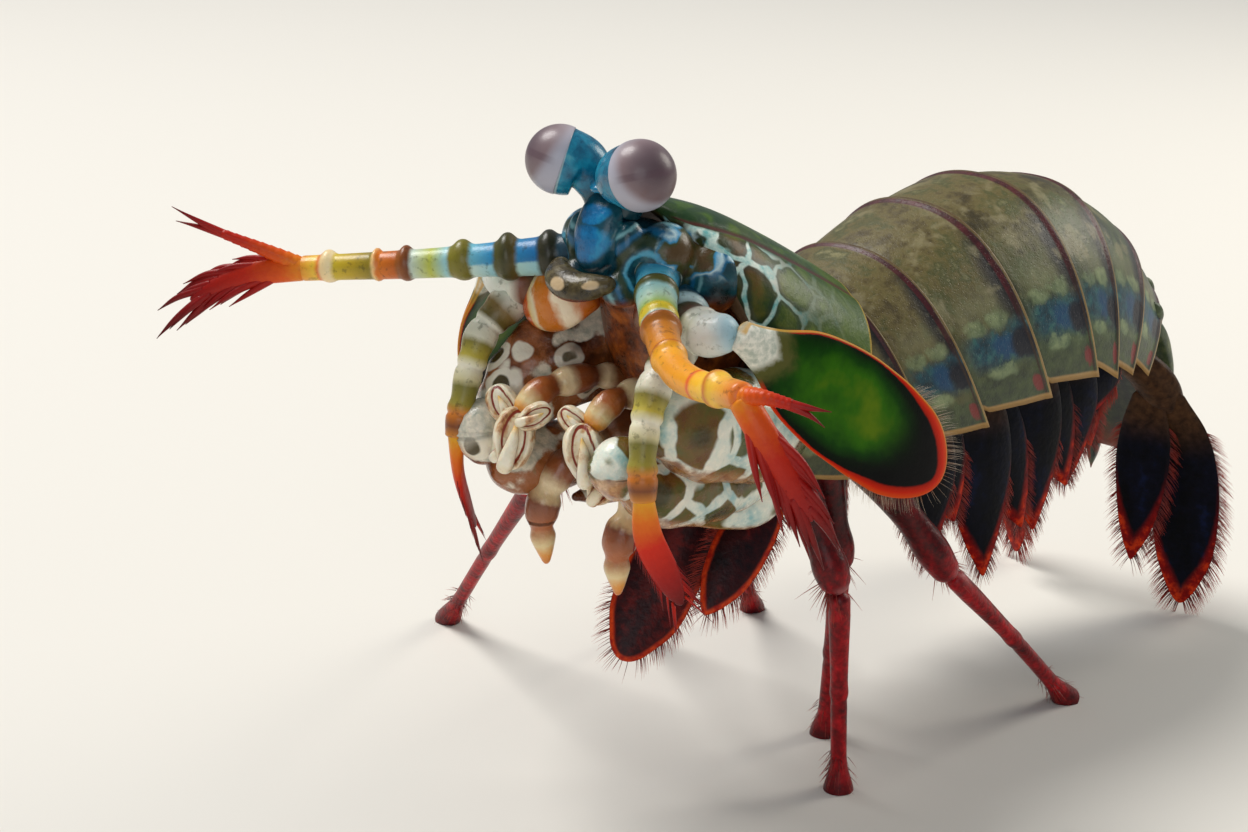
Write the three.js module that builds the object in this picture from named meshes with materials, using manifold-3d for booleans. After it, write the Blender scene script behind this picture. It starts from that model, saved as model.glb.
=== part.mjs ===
import * as THREE from "three";
import { mergeVertices } from "three/addons/utils/BufferGeometryUtils.js";
import Module from "manifold-3d";

// A peacock mantis shrimp, life size, standing on its walking legs with the tail fan down.
// Millimetres, +Z up. The head looks along -Y, the tail lies towards +Y, and +X is the animal's left.
// Shapes are written in body coordinates, with Y zero at the front of the head, and moved to the
// part's own frame at the end.

const wasm = await Module();
wasm.setup();

// Driving sizes
const seam = 0.36; // how far a carrier is grown before it cuts the root set in it
const jointGap = 0.35; // between one ring of the body and the next
const sliver = 0.06; // facets finer than this are merged into their neighbours
const bandSides = 16; // facets over the back of a body ring
const frameShift = new THREE.Vector3(9.2, -35, 0); // puts the origin under the middle of the box

const v = (x, y, z) => new THREE.Vector3(x, y, z);
const up = v(0, 0, 1);
const towardsTail = v(0, 1, 0);
const clamp = THREE.MathUtils.clamp;
const mix = THREE.MathUtils.lerp;
const radians = THREE.MathUtils.degToRad;
const mirrored = (point, side) => v(point.x * side, point.y, point.z);
const sides = [
  ["left", 1],
  ["right", -1],
];

// The value at t of a row of values spread evenly from 0 to 1
function along(values, t) {
  const at = clamp(t, 0, 1) * (values.length - 1);
  const first = Math.min(Math.floor(at), values.length - 2);
  return mix(values[first], values[first + 1], at - first);
}

// Closed surfaces
function closedSurface(points, faces) {
  const geometry = new THREE.BufferGeometry();
  const numbers = points.flatMap((p) => [p.x, p.y, p.z]);
  geometry.setAttribute("position", new THREE.Float32BufferAttribute(numbers, 3));
  geometry.setIndex(faces);
  return geometry;
}

function flatCap(ring, first, facesForward) {
  const normal = v(0, 0, 0);
  ring.forEach((p, i) => normal.add(p.clone().cross(ring[(i + 1) % ring.length])));
  normal.normalize();
  const across = ring[0].clone().sub(ring[Math.floor(ring.length / 2)]).normalize();
  const rise = normal.clone().cross(across);
  const flat = ring.map((p) => new THREE.Vector2(p.dot(across), p.dot(rise)));
  const faces = THREE.ShapeUtils.triangulateShape(flat, []);
  const turned = faces.map(([a, b, c]) => (facesForward ? [a, b, c] : [a, c, b]));
  return turned.flat().map((i) => i + first);
}

// A skin over rings of points that all have the same count, closed at both ends
function loft(rings) {
  const count = rings[0].length;
  const faces = [];
  for (let r = 0; r + 1 < rings.length; r++) {
    for (let i = 0; i < count; i++) {
      const j = (i + 1) % count;
      const [a, b] = [r * count + i, r * count + j];
      faces.push(a, b, b + count, a, b + count, a + count);
    }
  }
  faces.push(...flatCap(rings[0], 0, false));
  faces.push(...flatCap(rings[rings.length - 1], (rings.length - 1) * count, true));
  return closedSurface(rings.flat(), faces);
}

// An oval section swept along a smooth path. wide lies across the path, thick along the facing direction.
function limb(path, { wide, thick = wide, facing = up, count = 10, steps = 8 }) {
  const curve = new THREE.CatmullRomCurve3(path, false, "centripetal");
  const rings = [];
  for (let k = 0; k <= steps; k++) {
    const t = k / steps;
    const centre = curve.getPointAt(t);
    const ahead = curve.getTangentAt(t);
    const rise = facing.clone().addScaledVector(ahead, -facing.dot(ahead)).normalize();
    const across = rise.clone().cross(ahead);
    const [w, h] = [along(wide, t), along(thick, t)];
    rings.push(
      Array.from({ length: count }, (_, i) => {
        const angle = (2 * Math.PI * i) / count;
        return centre
          .clone()
          .addScaledVector(across, w * Math.cos(angle))
          .addScaledVector(rise, h * Math.sin(angle));
      }),
    );
  }
  return loft(rings);
}

// A flat blade along a path, with pointed barbs on its edges past the share named in barbed
function blade(path, { wide, facing, half = 0.3, barb = [0.5, 1.6], barbed = 0.4, steps = 8 }) {
  const curve = new THREE.CatmullRomCurve3(path, false, "centripetal");
  const length = curve.getLength();
  const edge = [];
  for (let k = 0; k <= steps; k++) {
    edge.push([along(wide, k / steps), (k / steps) * length]);
    const t = (k + 0.5) / steps;
    if (k < steps && t > barbed) edge.push([along(wide, t) + barb[0], t * length + barb[1]]);
  }
  const outline = [...edge, [0, length + 1.2 * barb[1]], ...edge.toReversed().map(([x, s]) => [-x, s])];
  const bent = ([x, s], y) => {
    const t = clamp(s / length, 0, 1);
    const ahead = curve.getTangentAt(t);
    const rise = facing.clone().addScaledVector(ahead, -facing.dot(ahead)).normalize();
    return curve
      .getPointAt(t)
      .addScaledVector(ahead, s - t * length)
      .addScaledVector(rise.clone().cross(ahead), x)
      .addScaledVector(rise, y);
  };
  const flat = outline.map(([x, s]) => new THREE.Vector2(x, s));
  const count = outline.length;
  const faces = [];
  for (const [i, j, k] of THREE.ShapeUtils.triangulateShape(flat, [])) {
    faces.push(i, j, k, i + count, k + count, j + count);
  }
  for (let i = 0; i < count; i++) {
    const j = (i + 1) % count;
    faces.push(i, i + count, j + count, i, j + count, j);
  }
  const front = outline.map((p) => bent(p, half));
  const back = outline.map((p) => bent(p, -half));
  return closedSurface([...front, ...back], faces);
}

// A four-sided spine whose root is sunk behind its starting point
function spine(root, tip, radius, sink = 0.8) {
  const ahead = tip.clone().sub(root).normalize();
  const start = root.clone().addScaledVector(ahead, -sink);
  const rise = (Math.abs(ahead.z) > 0.9 ? v(1, 0, 0) : up).clone();
  rise.addScaledVector(ahead, -rise.dot(ahead)).normalize();
  const across = rise.clone().cross(ahead);
  const ring = [across, rise, across.clone().negate(), rise.clone().negate()].map((d) =>
    start.clone().addScaledVector(d, radius),
  );
  return closedSurface([...ring, tip], [0, 1, 4, 1, 2, 4, 2, 3, 4, 3, 0, 4, 0, 2, 1, 0, 3, 2]);
}

// Solids: joining, cutting and growing
function solidOf(geometry) {
  const plain = geometry.clone();
  plain.deleteAttribute("normal");
  plain.deleteAttribute("uv");
  const merged = mergeVertices(plain, 1e-4);
  const indices = Array.from(merged.index.array);
  const faces = [];
  for (let i = 0; i < indices.length; i += 3) {
    const [a, b, c] = indices.slice(i, i + 3);
    if (a !== b && b !== c && c !== a) faces.push(a, b, c);
  }
  const make = (list) =>
    new wasm.Manifold(
      new wasm.Mesh({
        numProp: 3,
        vertProperties: Float32Array.from(merged.attributes.position.array),
        triVerts: Uint32Array.from(list),
      }),
    );
  const solid = make(faces);
  return solid.volume() > 0 ? solid : make(faces.reverse());
}

function geometryOf(solid) {
  const mesh = solid.getMesh();
  const points = [];
  for (let i = 0; i < mesh.numVert; i++) {
    points.push(v(...mesh.vertProperties.subarray(i * mesh.numProp, i * mesh.numProp + 3)));
  }
  return closedSurface(points, Array.from(mesh.triVerts));
}

// The largest closed surface of a solid, without loose crumbs and sealed pockets
function largestSurface(solid) {
  const mesh = solid.getMesh();
  const parent = Array.from({ length: mesh.numVert }, (_, i) => i);
  const rootOf = (i) => {
    let root = i;
    while (parent[root] !== root) root = parent[root] = parent[parent[root]];
    return root;
  };
  for (let i = 0; i < mesh.triVerts.length; i += 3) {
    const [a, b, c] = mesh.triVerts.subarray(i, i + 3);
    parent[rootOf(b)] = rootOf(a);
    parent[rootOf(c)] = rootOf(a);
  }
  const shells = new Map();
  for (let i = 0; i < mesh.triVerts.length; i += 3) {
    const root = rootOf(mesh.triVerts[i]);
    if (!shells.has(root)) shells.set(root, []);
    shells.get(root).push(...mesh.triVerts.subarray(i, i + 3));
  }
  const { numProp, vertProperties } = mesh;
  const solids = [...shells.values()].map((list) => {
    const triVerts = Uint32Array.from(list);
    return new wasm.Manifold(new wasm.Mesh({ numProp, vertProperties, triVerts }));
  });
  return solids.sort((a, b) => b.volume() - a.volume())[0];
}

const fuse = (pieces) => pieces.map(solidOf).reduce((all, piece) => all.add(piece));

// The solid with every vertex moved out along its normal, to cut a seat with a gap
function grown(solid, distance = seam) {
  const geometry = geometryOf(solid);
  geometry.computeVertexNormals();
  const { position, normal } = geometry.attributes;
  for (let i = 0; i < position.count; i++) {
    position.setXYZ(
      i,
      position.getX(i) + distance * normal.getX(i),
      position.getY(i) + distance * normal.getY(i),
      position.getZ(i) + distance * normal.getZ(i),
    );
  }
  return solidOf(geometry);
}

// The object, as named meshes
const shrimp = new THREE.Group();
const seats = []; // each node placed so far, with the gap round it
const looks = {
  shell: { color: 0x55602a, roughness: 0.35 },
  head: { color: 0x12678c, roughness: 0.3 },
  eye: { color: 0x6b5558, roughness: 0.15 },
  banded: { color: 0xb9b08a, roughness: 0.35 },
  spotted: { color: 0xc9c6b0, roughness: 0.3 },
  scale: { color: 0x1f4a12, roughness: 0.25 },
  fringe: { color: 0x9a1a0c, roughness: 0.45 },
  leg: { color: 0x5b0f14, roughness: 0.35 },
  gill: { color: 0x1a1420, roughness: 0.4 },
};

// Adds a node. Its pieces are fused, cut clear of the nodes placed before it, and cut flat at the ground.
function place(name, look, pieces) {
  let solid = fuse(pieces);
  for (const seat of seats) {
    if (solid.intersect(seat).volume() > 0) solid = solid.subtract(seat);
  }
  solid = largestSurface(solid.trimByPlane([0, 0, 1], 0).simplify(sliver));
  seats.push(grown(solid).add(solid));
  const material = new THREE.MeshStandardMaterial({ metalness: 0, ...looks[look] });
  const mesh = new THREE.Mesh(geometryOf(solid), material);
  mesh.name = name;
  shrimp.add(mesh);
}

// Body rings: one station at each joint of the back, with the line of the back, its slope, and the
// half width and depth of the ring there
const stations = [
  { y: 13.0, z: 52.0, slope: 4, half: 10.2, deep: 16 },
  { y: 21.5, z: 53.6, slope: 4, half: 12.0, deep: 18 },
  { y: 25.3, z: 54.3, slope: 6, half: 13.0, deep: 18.5 },
  { y: 29.5, z: 55.4, slope: 9, half: 14.0, deep: 19 },
  { y: 37.5, z: 57.4, slope: 10, half: 15.0, deep: 20 },
  { y: 49.0, z: 60.8, slope: 8, half: 15.8, deep: 22 },
  { y: 61.0, z: 62.2, slope: 0, half: 16.2, deep: 22 },
  { y: 72.6, z: 60.2, slope: -17, half: 15.6, deep: 21.4 },
  { y: 84.0, z: 53.4, slope: -40, half: 14.2, deep: 17.6 },
  { y: 91.5, z: 45.2, slope: -58, half: 12.0, deep: 12.6 },
];
const bandNames = [6, 7, 8].map((n) => `thorax_${n}`).concat([1, 2, 3, 4, 5, 6].map((n) => `abdomen_${n}`));
const archPower = 2.25; // squareness of the back's section
const flankSweep = 3.4; // how far the lower corners trail behind the back
const bellyLift = 5; // from the tips of the side plates up to the belly
const plateThick = 2.2;

// The station between two joints of the back
function stationAt(a, b, t) {
  const from = stations[a];
  const to = stations[b];
  const bend = radians(to.slope - from.slope) * t * (1 - t) * 0.5;
  const chord = Math.hypot(to.y - from.y, to.z - from.z);
  return {
    y: mix(from.y, to.y, t),
    z: mix(from.z, to.z, t) - bend * chord,
    slope: mix(from.slope, to.slope, t),
    half: mix(from.half, to.half, t),
    deep: mix(from.deep, to.deep, t),
  };
}

// The outline of the body at a station, drawn in by inset, moved along the back by shift, and with
// its lower corners raised by lift
function bandRing(station, inset, shift, lift) {
  const slope = radians(station.slope);
  const ahead = v(0, Math.cos(slope), Math.sin(slope));
  const rise = v(0, -Math.sin(slope), Math.cos(slope));
  const back = v(0, station.y, station.z);
  const half = station.half - inset;
  const deep = station.deep - inset - lift;
  const at = (x, down) =>
    back
      .clone()
      .add(v(x, 0, 0))
      .addScaledVector(rise, -inset - down)
      .addScaledVector(ahead, shift + flankSweep * (down / station.deep) ** 2);
  const ring = [];
  for (let i = 0; i <= bandSides; i++) {
    const angle = radians(mix(90, -90, i / bandSides));
    const x = half * Math.sign(Math.sin(angle)) * Math.abs(Math.sin(angle)) ** (2 / archPower);
    ring.push(at(x, deep * (1 - Math.abs(Math.cos(angle)) ** (2 / archPower))));
  }
  const inner = half - plateThick;
  ring.push(at(-inner, deep - 0.6), at(-inner + 1.4, deep - bellyLift), at(inner - 1.4, deep - bellyLift));
  ring.push(at(inner, deep - 0.6));
  return ring.reverse();
}

bandNames.forEach((name, k) => {
  const profile = [
    [0, 0.95, jointGap, 2.6],
    [0.16, 0.45, 0, 0.9],
    [0.6, 0.05, 0, 0.1],
    [1, -0.3, 0, -0.4],
  ];
  const pieces = [
    loft(profile.map(([t, inset, shift, lift]) => bandRing(stationAt(k, k + 1, t), inset, shift, lift))),
  ];
  if (name === "abdomen_6") {
    // Six spines point back over the telson
    for (const side of [-1, 1]) {
      for (const x of [3, 7, 10.5]) {
        const rear = stations[stations.length - 1];
        const drop = 0.05 * x * x;
        const root = v(side * x, rear.y - 1.6 - drop * 0.6, rear.z - 0.2 - drop * 0.75);
        pieces.push(spine(root, root.clone().add(v(side * 0.6, 2.6, -2.4)), 0.8));
      }
    }
  }
  place(name, "shell", pieces);
});

// Carapace: a shield over the head, raised in front, with a hollow under it
const shieldLine = [
  { y: 3.0, z: 68.2, slope: 12, half: 6.2, deep: 6.5 },
  { y: 5.0, z: 68.4, slope: 0, half: 11.0, deep: 11 },
  { y: 10.5, z: 66.8, slope: -16, half: 13.6, deep: 13.4 },
  { y: 17.0, z: 63.6, slope: -26, half: 14.8, deep: 14.2 },
  { y: 23.0, z: 60.2, slope: -32, half: 15.4, deep: 13.8 },
  { y: 27.2, z: 57.6, slope: -34, half: 15.4, deep: 12.6 },
];
const shieldThick = 1.3;

function shieldRing(station) {
  const slope = radians(station.slope);
  const ahead = v(0, Math.cos(slope), Math.sin(slope));
  const rise = v(0, -Math.sin(slope), Math.cos(slope));
  const point = (inset, angle) => {
    const bend = Math.abs(Math.sin(angle));
    const down = (station.deep - inset) * (1 - Math.abs(Math.cos(angle)) ** 0.8);
    return v((station.half - inset) * Math.sign(Math.sin(angle)) * bend ** 0.85, station.y, station.z)
      .addScaledVector(rise, -inset - down)
      .addScaledVector(ahead, 2.5 * (down / station.deep) ** 2);
  };
  const ring = [];
  for (let i = 0; i <= bandSides; i++) ring.push(point(0, radians(mix(-90, 90, i / bandSides))));
  for (let i = 0; i <= bandSides / 2; i++) {
    ring.push(point(shieldThick, radians(mix(84, -84, i / (bandSides / 2)))));
  }
  return ring;
}
place("carapace", "shell", [loft(shieldLine.map(shieldRing))]);

// Head: the core under the shield, its front face and the lip under it
const headCore = limb([v(0, 14.6, 46.5), v(0, 10.4, 52.5), v(0, 5, 60), v(0, -1.5, 63), v(0, -3.6, 63.4)], {
  wide: [8.4, 8.8, 8.2, 6.8, 5.2, 2.6],
  thick: [7, 7.6, 7.2, 6, 4.9, 3],
  count: 12,
  steps: 6,
});
const lip = limb([v(-3.8, -4.2, 61.2), v(0, -6.6, 60.6), v(3.8, -4.2, 61.2)], {
  wide: [1.2, 2, 1.2],
  thick: [1.2, 1.9, 1.2],
  count: 7,
  steps: 4,
});
const brow = limb([v(0, 2.5, 67), v(0, -2.4, 67.4), v(0, -4.2, 64.6), v(0, -4.4, 61)], {
  wide: [2.4, 2.5, 2.3, 1.6],
  thick: [1.4, 1.6, 1.5, 1.2],
  facing: v(0, -0.6, 0.8),
  count: 8,
  steps: 4,
});
const cheekLine = [v(4.2, 6, 54.6), v(6, 2.4, 56), v(6.6, -0.6, 56.4)];
const cheeks = sides.map(([, side]) => {
  const line = cheekLine.map((p) => mirrored(p, side));
  return limb(line, { wide: [3.4, 4, 2.4], count: 8, steps: 3 });
});
place("head", "head", [headCore, lip, brow, ...cheeks]);

const rostrum = limb([v(0, 3.6, 70), v(0, 0.6, 70.5), v(0, -2.6, 69.9)], {
  wide: [3.9, 3.6, 0.7],
  thick: [0.55, 0.55, 0.4],
  count: 10,
  steps: 4,
});
place("rostral_plate", "head", [rostrum]);

// Eyes: a stalk that widens into a cup, and the round cornea on it
const eyeRadius = 3.55;
const gazes = { left: v(0.95, -0.12, 0.28), right: v(-0.72, -0.62, 0.32) };
const corneaRings = 6;
for (const [word, side] of sides) {
  const centre = mirrored(v(5.6, -1.7, 72.1), side);
  const gaze = gazes[word].normalize();
  const cup = centre.clone().addScaledVector(gaze, -0.35);
  const neck = centre.clone().addScaledVector(gaze, -2.6);
  const stalk = limb([mirrored(v(1.9, 0.2, 67.4), side), mirrored(v(2.6, 0.3, 69.4), side), neck, cup], {
    wide: [1.35, 1.7, 2.3, 3.1, eyeRadius - 0.08],
    facing: v(0, -0.5, 0.8),
    count: 11,
    steps: 5,
  });
  place(`eyestalk_${word}`, "head", [stalk]);
  // Half the outline of the cornea, turned about the gaze
  const profile = [new THREE.Vector2(0, 0)];
  for (let i = 0; i < corneaRings; i++) {
    const angle = ((i / corneaRings) * Math.PI) / 2;
    profile.push(new THREE.Vector2(eyeRadius * Math.cos(angle), 1.04 * eyeRadius * Math.sin(angle)));
  }
  profile.push(new THREE.Vector2(0, 1.04 * eyeRadius));
  const cornea = new THREE.LatheGeometry(profile, 14);
  cornea.applyQuaternion(new THREE.Quaternion().setFromUnitVectors(towardsTail, gaze));
  cornea.translate(...cup.clone().addScaledVector(gaze, seam + 0.04).toArray());
  place(`eye_${word}`, "eye", [cornea]);
}

// Antennules: a ringed stem, then a brush of pointed tips and a thin forked branch
const ringedStem = (path, radius, segments) => {
  const widths = [];
  for (let s = 0; s < segments; s++) {
    const taper = mix(radius[0], radius[1], s / (segments - 1));
    widths.push(taper * 0.88, taper * 1.1);
  }
  return limb(path, { wide: widths, count: 8, steps: widths.length - 1 });
};
const antennules = {
  left: {
    stem: [v(4.6, 2, 62.2), v(8.6, -2.4, 60.2), v(19, -10.4, 57), v(31.8, -15.2, 58.4)],
    brush: [v(31, -15, 58.3), v(33.6, -14.8, 55.2), v(35.6, -13.4, 51), v(36.8, -11.8, 47.4)],
    thin: [v(31, -15, 58.3), v(33.4, -15, 58.8), v(35.8, -13.8, 58.4)],
    thinTips: [v(38.4, -12.4, 56.6), v(38.8, -12, 58)],
    facing: v(0.6, -0.6, 0.4),
  },
  right: {
    stem: [v(-4.6, 2, 62.2), v(-9.5, -1.4, 61.4), v(-20, -8.4, 60), v(-31.8, -15.2, 58.6)],
    brush: [v(-31, -14.8, 58.7), v(-34.6, -18.2, 58.2), v(-38, -21, 56.8), v(-40.6, -23.2, 55)],
    thin: [v(-31, -14.8, 58.7), v(-33.6, -17.4, 60.4), v(-37.4, -20.8, 62.4)],
    thinTips: [v(-41.4, -24.2, 65.2), v(-41.4, -23.8, 63.6)],
    facing: v(0.6, -0.7, 0.3),
  },
};
const brushTips = 8;
for (const [word] of sides) {
  const { stem, brush, thin, thinTips, facing } = antennules[word];
  place(`antennule_stem_${word}`, "banded", [ringedStem(stem, [2.4, 1.5], 7)]);
  const brushLine = new THREE.CatmullRomCurve3(brush);
  const pieces = [
    limb(brush, { wide: [1.4, 1.6, 1.45, 0.8], thick: [1.3, 0.8, 0.7, 0.45], facing, count: 6, steps: 4 }),
    limb(thin, { wide: [1.1, 0.95, 0.6], thick: [1.1, 0.85, 0.5], facing, count: 5, steps: 3 }),
  ];
  const thinEnd = thin[thin.length - 1];
  thinTips.forEach((tip) => pieces.push(spine(thinEnd, tip, 0.55, 1.4)));
  for (let i = 0; i < brushTips; i++) {
    const t = mix(0.42, 1, i / (brushTips - 1));
    const root = brushLine.getPointAt(t);
    const ahead = brushLine.getTangentAt(t);
    const fan = facing.clone().cross(ahead).normalize();
    const lean = i % 2 ? 0.4 : -0.4;
    const spread = i === brushTips - 1 ? 0 : lean;
    const reach = 5 + 0.9 * Math.cos(2.1 * i);
    const tip = root.clone().addScaledVector(ahead, reach).addScaledVector(fan, reach * spread);
    pieces.push(spine(root.addScaledVector(fan, spread), tip, 0.62, 1.4));
  }
  place(`antennule_brush_${word}`, "fringe", pieces);
}

// Antennae: a short arm with the oval scale on its end, and a banded limb that hangs from it
const antennaScales = {
  left: {
    midline: [v(17.6, -0.6, 58.4), v(18.9, 4.4, 54.9), v(21.4, 15, 46.8), v(23.4, 24.6, 38.3)],
    facing: v(0.67, -0.67, 0.31),
  },
  right: {
    midline: [v(-17.6, -0.6, 58.4), v(-20.8, 2.2, 55.6), v(-27.6, 8.8, 47), v(-32.4, 15, 38.6)],
    facing: v(-0.8, -0.2, 0.55),
  },
};
const antennaLimbs = {
  left: [v(10.6, -0.6, 56), v(11.3, -4.6, 54), v(12.1, -7.2, 50.6), v(13, -8.8, 46.8)],
  right: [v(-13.2, -0.6, 56.8), v(-14.5, -4.6, 53), v(-14.2, -6.6, 50), v(-14, -7.6, 48)],
};
for (const [word, side] of sides) {
  const at = (x, y, z) => mirrored(v(x, y, z), side);
  const arm = limb([at(5.6, 4, 58.6), at(10, 0.6, 57.8), at(14.4, -1, 57.8), at(17.4, -0.6, 58.6)], {
    wide: [2.6, 2.4, 2.1, 2.3, 1.7],
    count: 8,
    steps: 5,
  });
  place(`antenna_arm_${word}`, "banded", [arm]);
  const { midline, facing } = antennaScales[word];
  const scale = limb(midline, {
    wide: [1.6, 2.4, 4.6, 5.5, 5.7, 5.5, 4.9, 3.9, 1.2],
    thick: [1.2, 0.9, 0.7, 0.65, 0.6, 0.55, 0.5, 0.45, 0.35],
    facing,
    count: 6,
    steps: 12,
  });
  place(`antennal_scale_${word}`, "scale", [scale]);
  const cuff = at(13.7, -9.4, 43.4);
  const end = at(15.3, -5.6, 31.2);
  const pieces = [
    limb([...antennaLimbs[word], cuff, at(13.8, -9.4, 42.4)], {
      wide: [1.9, 2.1, 1.6, 1.8, 1.45, 1.5, 1.3, 1.5, 1.2],
      facing,
      count: 6,
      steps: 8,
    }),
    limb([cuff, at(14, -9, 39), at(14.8, -7.2, 34.6), end], {
      wide: [1, 1.35, 1.5, 1.3, 0.6],
      thick: [0.9, 0.8, 0.6, 0.5, 0.35],
      facing,
      count: 6,
      steps: 5,
    }),
  ];
  for (const out of [-1.2, 1.2]) {
    const fan = at(0.7 * out, 0.7 * out * side, 0);
    const root = cuff.clone().addScaledVector(fan, 0.5);
    pieces.push(spine(root, root.clone().addScaledVector(fan, 0.9).add(v(0, -0.8, -2.4)), 0.6, 0.5));
    pieces.push(spine(end, end.clone().addScaledVector(fan, 1).add(v(0, 1, -4 + 0.5 * out)), 0.5, 1.6));
  }
  place(`antenna_limb_${word}`, "banded", pieces);
}

// Raptorial claws, folded: the thick arm, the forearm under it, and the club
const claws = {
  left: {
    arm: [v(8.4, 19, 44.6), v(10.6, 12.5, 44.6), v(11.6, 4, 46.6), v(11.4, -3.4, 47.6), v(10.8, -6, 46.6)],
    wrist: [v(10, -5.6, 46), v(8.6, -7.8, 44.8), v(8.4, -6.4, 41)],
    forearm: [v(8.8, -6.6, 43.4), v(8.8, -3.4, 41), v(9.4, 4, 39.6), v(9.8, 12.4, 39)],
    club: [v(9.6, 15.4, 38.6), v(8.4, 12.2, 36), v(6.8, 5.8, 35.8), v(6, 0.4, 37)],
  },
  right: {
    arm: [v(-8, 17.6, 48), v(-8.4, 11.5, 50.6), v(-10.6, 3.6, 49.4), v(-12.4, -3.4, 45.6), v(-12.4, -6, 44)],
    wrist: [v(-12.6, -4.6, 45.6), v(-12.4, -7.2, 43.4), v(-11.8, -6, 39.6)],
    forearm: [v(-11.6, -6, 41.2), v(-11, -3, 38.8), v(-10.4, 4, 38.8), v(-10, 12, 39.2)],
    club: [v(-9.8, 15.2, 38.4), v(-8.8, 12.2, 35.4), v(-7.4, 6, 34.6), v(-6.6, 0.6, 35.2)],
  },
};
for (const [word] of sides) {
  const { arm, wrist, forearm, club } = claws[word];
  const armShape = {
    wide: [2.6, 3.6, 4.4, 4.5, 4.2, 3.6, 2.2],
    thick: [3, 4.6, 5.8, 6, 5.6, 4.6, 2.6],
    count: 12,
    steps: 8,
  };
  const wristShape = { wide: [1.6, 2.9, 1.6], thick: [1.6, 2.7, 1.6], count: 9, steps: 4 };
  const forearmShape = {
    wide: [2.4, 3.3, 3.6, 3.4, 2.9, 2.2],
    thick: [2, 3.2, 3.8, 3.6, 3, 2.2],
    count: 10,
    steps: 6,
  };
  const clubShape = { wide: [2, 3, 2.3, 1.4, 0.4], thick: [2.2, 3, 2.2, 1.3, 0.4], count: 9, steps: 6 };
  place(`claw_arm_${word}`, "spotted", [limb(arm, armShape)]);
  place(`claw_forearm_${word}`, "spotted", [limb(forearm, forearmShape), limb(wrist, wristShape)]);
  place(`claw_club_${word}`, "spotted", [limb(club, clubShape)]);
}

// Maxillipeds: two small jointed feelers on each side and a broad paddle behind them
const maxillipeds = {
  left: {
    knuckled: [v(3.4, 7, 48), v(3.8, 0.4, 49.4), v(3.6, -4.4, 48.8), v(3.2, -6.4, 46.6)],
    hand: [v(3.6, -5.8, 47.2), v(3.2, -7.8, 44.2), v(3.3, -7.4, 41.2)],
    hanging: [v(4.6, 8, 43.4), v(5.4, 0, 40), v(4.8, -3.8, 34.4), v(4.6, -3.8, 28.6)],
    paddle: [v(5.6, 19.4, 38), v(7, 15, 33.4), v(7.6, 10.4, 29), v(7.6, 6, 24.4)],
    paddleWidth: [1.5, 2.3, 2.9, 3, 2.4, 0.8],
  },
  right: {
    knuckled: [v(-3.6, 7, 48), v(-4.8, 0.2, 49), v(-5.8, -5.2, 48.2), v(-6, -7.4, 46)],
    hand: [v(-6, -6.8, 47.4), v(-6.2, -8.8, 44.2), v(-5.8, -8.4, 41)],
    hanging: [v(-4.6, 8, 43.4), v(-6.4, 0.4, 40), v(-7.8, -2.6, 35), v(-7.6, -2.4, 28.2)],
    paddle: [v(-2.4, 19, 37.6), v(-2.8, 15, 31), v(-3.2, 9.6, 22.6), v(-3.2, 4.4, 16.2)],
    paddleWidth: [1.7, 2.8, 4, 4.3, 3.9, 1.6],
  },
};
const beaded = (segments, start, end) =>
  Array.from(
    { length: segments * 2 },
    (_, i) => mix(start, end, i / (segments * 2 - 1)) * (i % 2 ? 1.14 : 0.84),
  );
// A jointed feeler that ends in a small pointed nail
function feeler(path, widths, nail) {
  const last = path[path.length - 1];
  const joints = limb(path, { wide: widths, count: 7, steps: widths.length - 1 });
  return [joints, spine(last, last.clone().add(nail), 0.9)];
}
for (const [word, side] of sides) {
  const { knuckled, hand, hanging, paddle, paddleWidth } = maxillipeds[word];
  const fistShape = { wide: [1, 1.9, 2.1, 1.5, 0.8], thick: [1, 1.5, 1.6, 1.2, 0.8], count: 8, steps: 5 };
  const wristed = feeler(knuckled, beaded(3, 1.1, 1.2), v(0, -0.4, -1));
  place(`maxilliped_3_${word}`, "banded", [...wristed, limb(hand, fistShape)]);
  place(`maxilliped_4_${word}`, "banded", feeler(hanging, beaded(4, 1.7, 1.5), v(0, 0.4, -2.6)));
  const facing = v(0.67, -0.67, 0.31);
  const steps = side < 0 ? 11 : 8;
  const flapShape = { half: 0.45, barb: [0.4, 1.4], barbed: 0.5, steps };
  const flap = blade(paddle, { wide: paddleWidth, facing, ...flapShape });
  place(`maxilliped_5_${word}`, "leg", [flap]);
}

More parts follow.
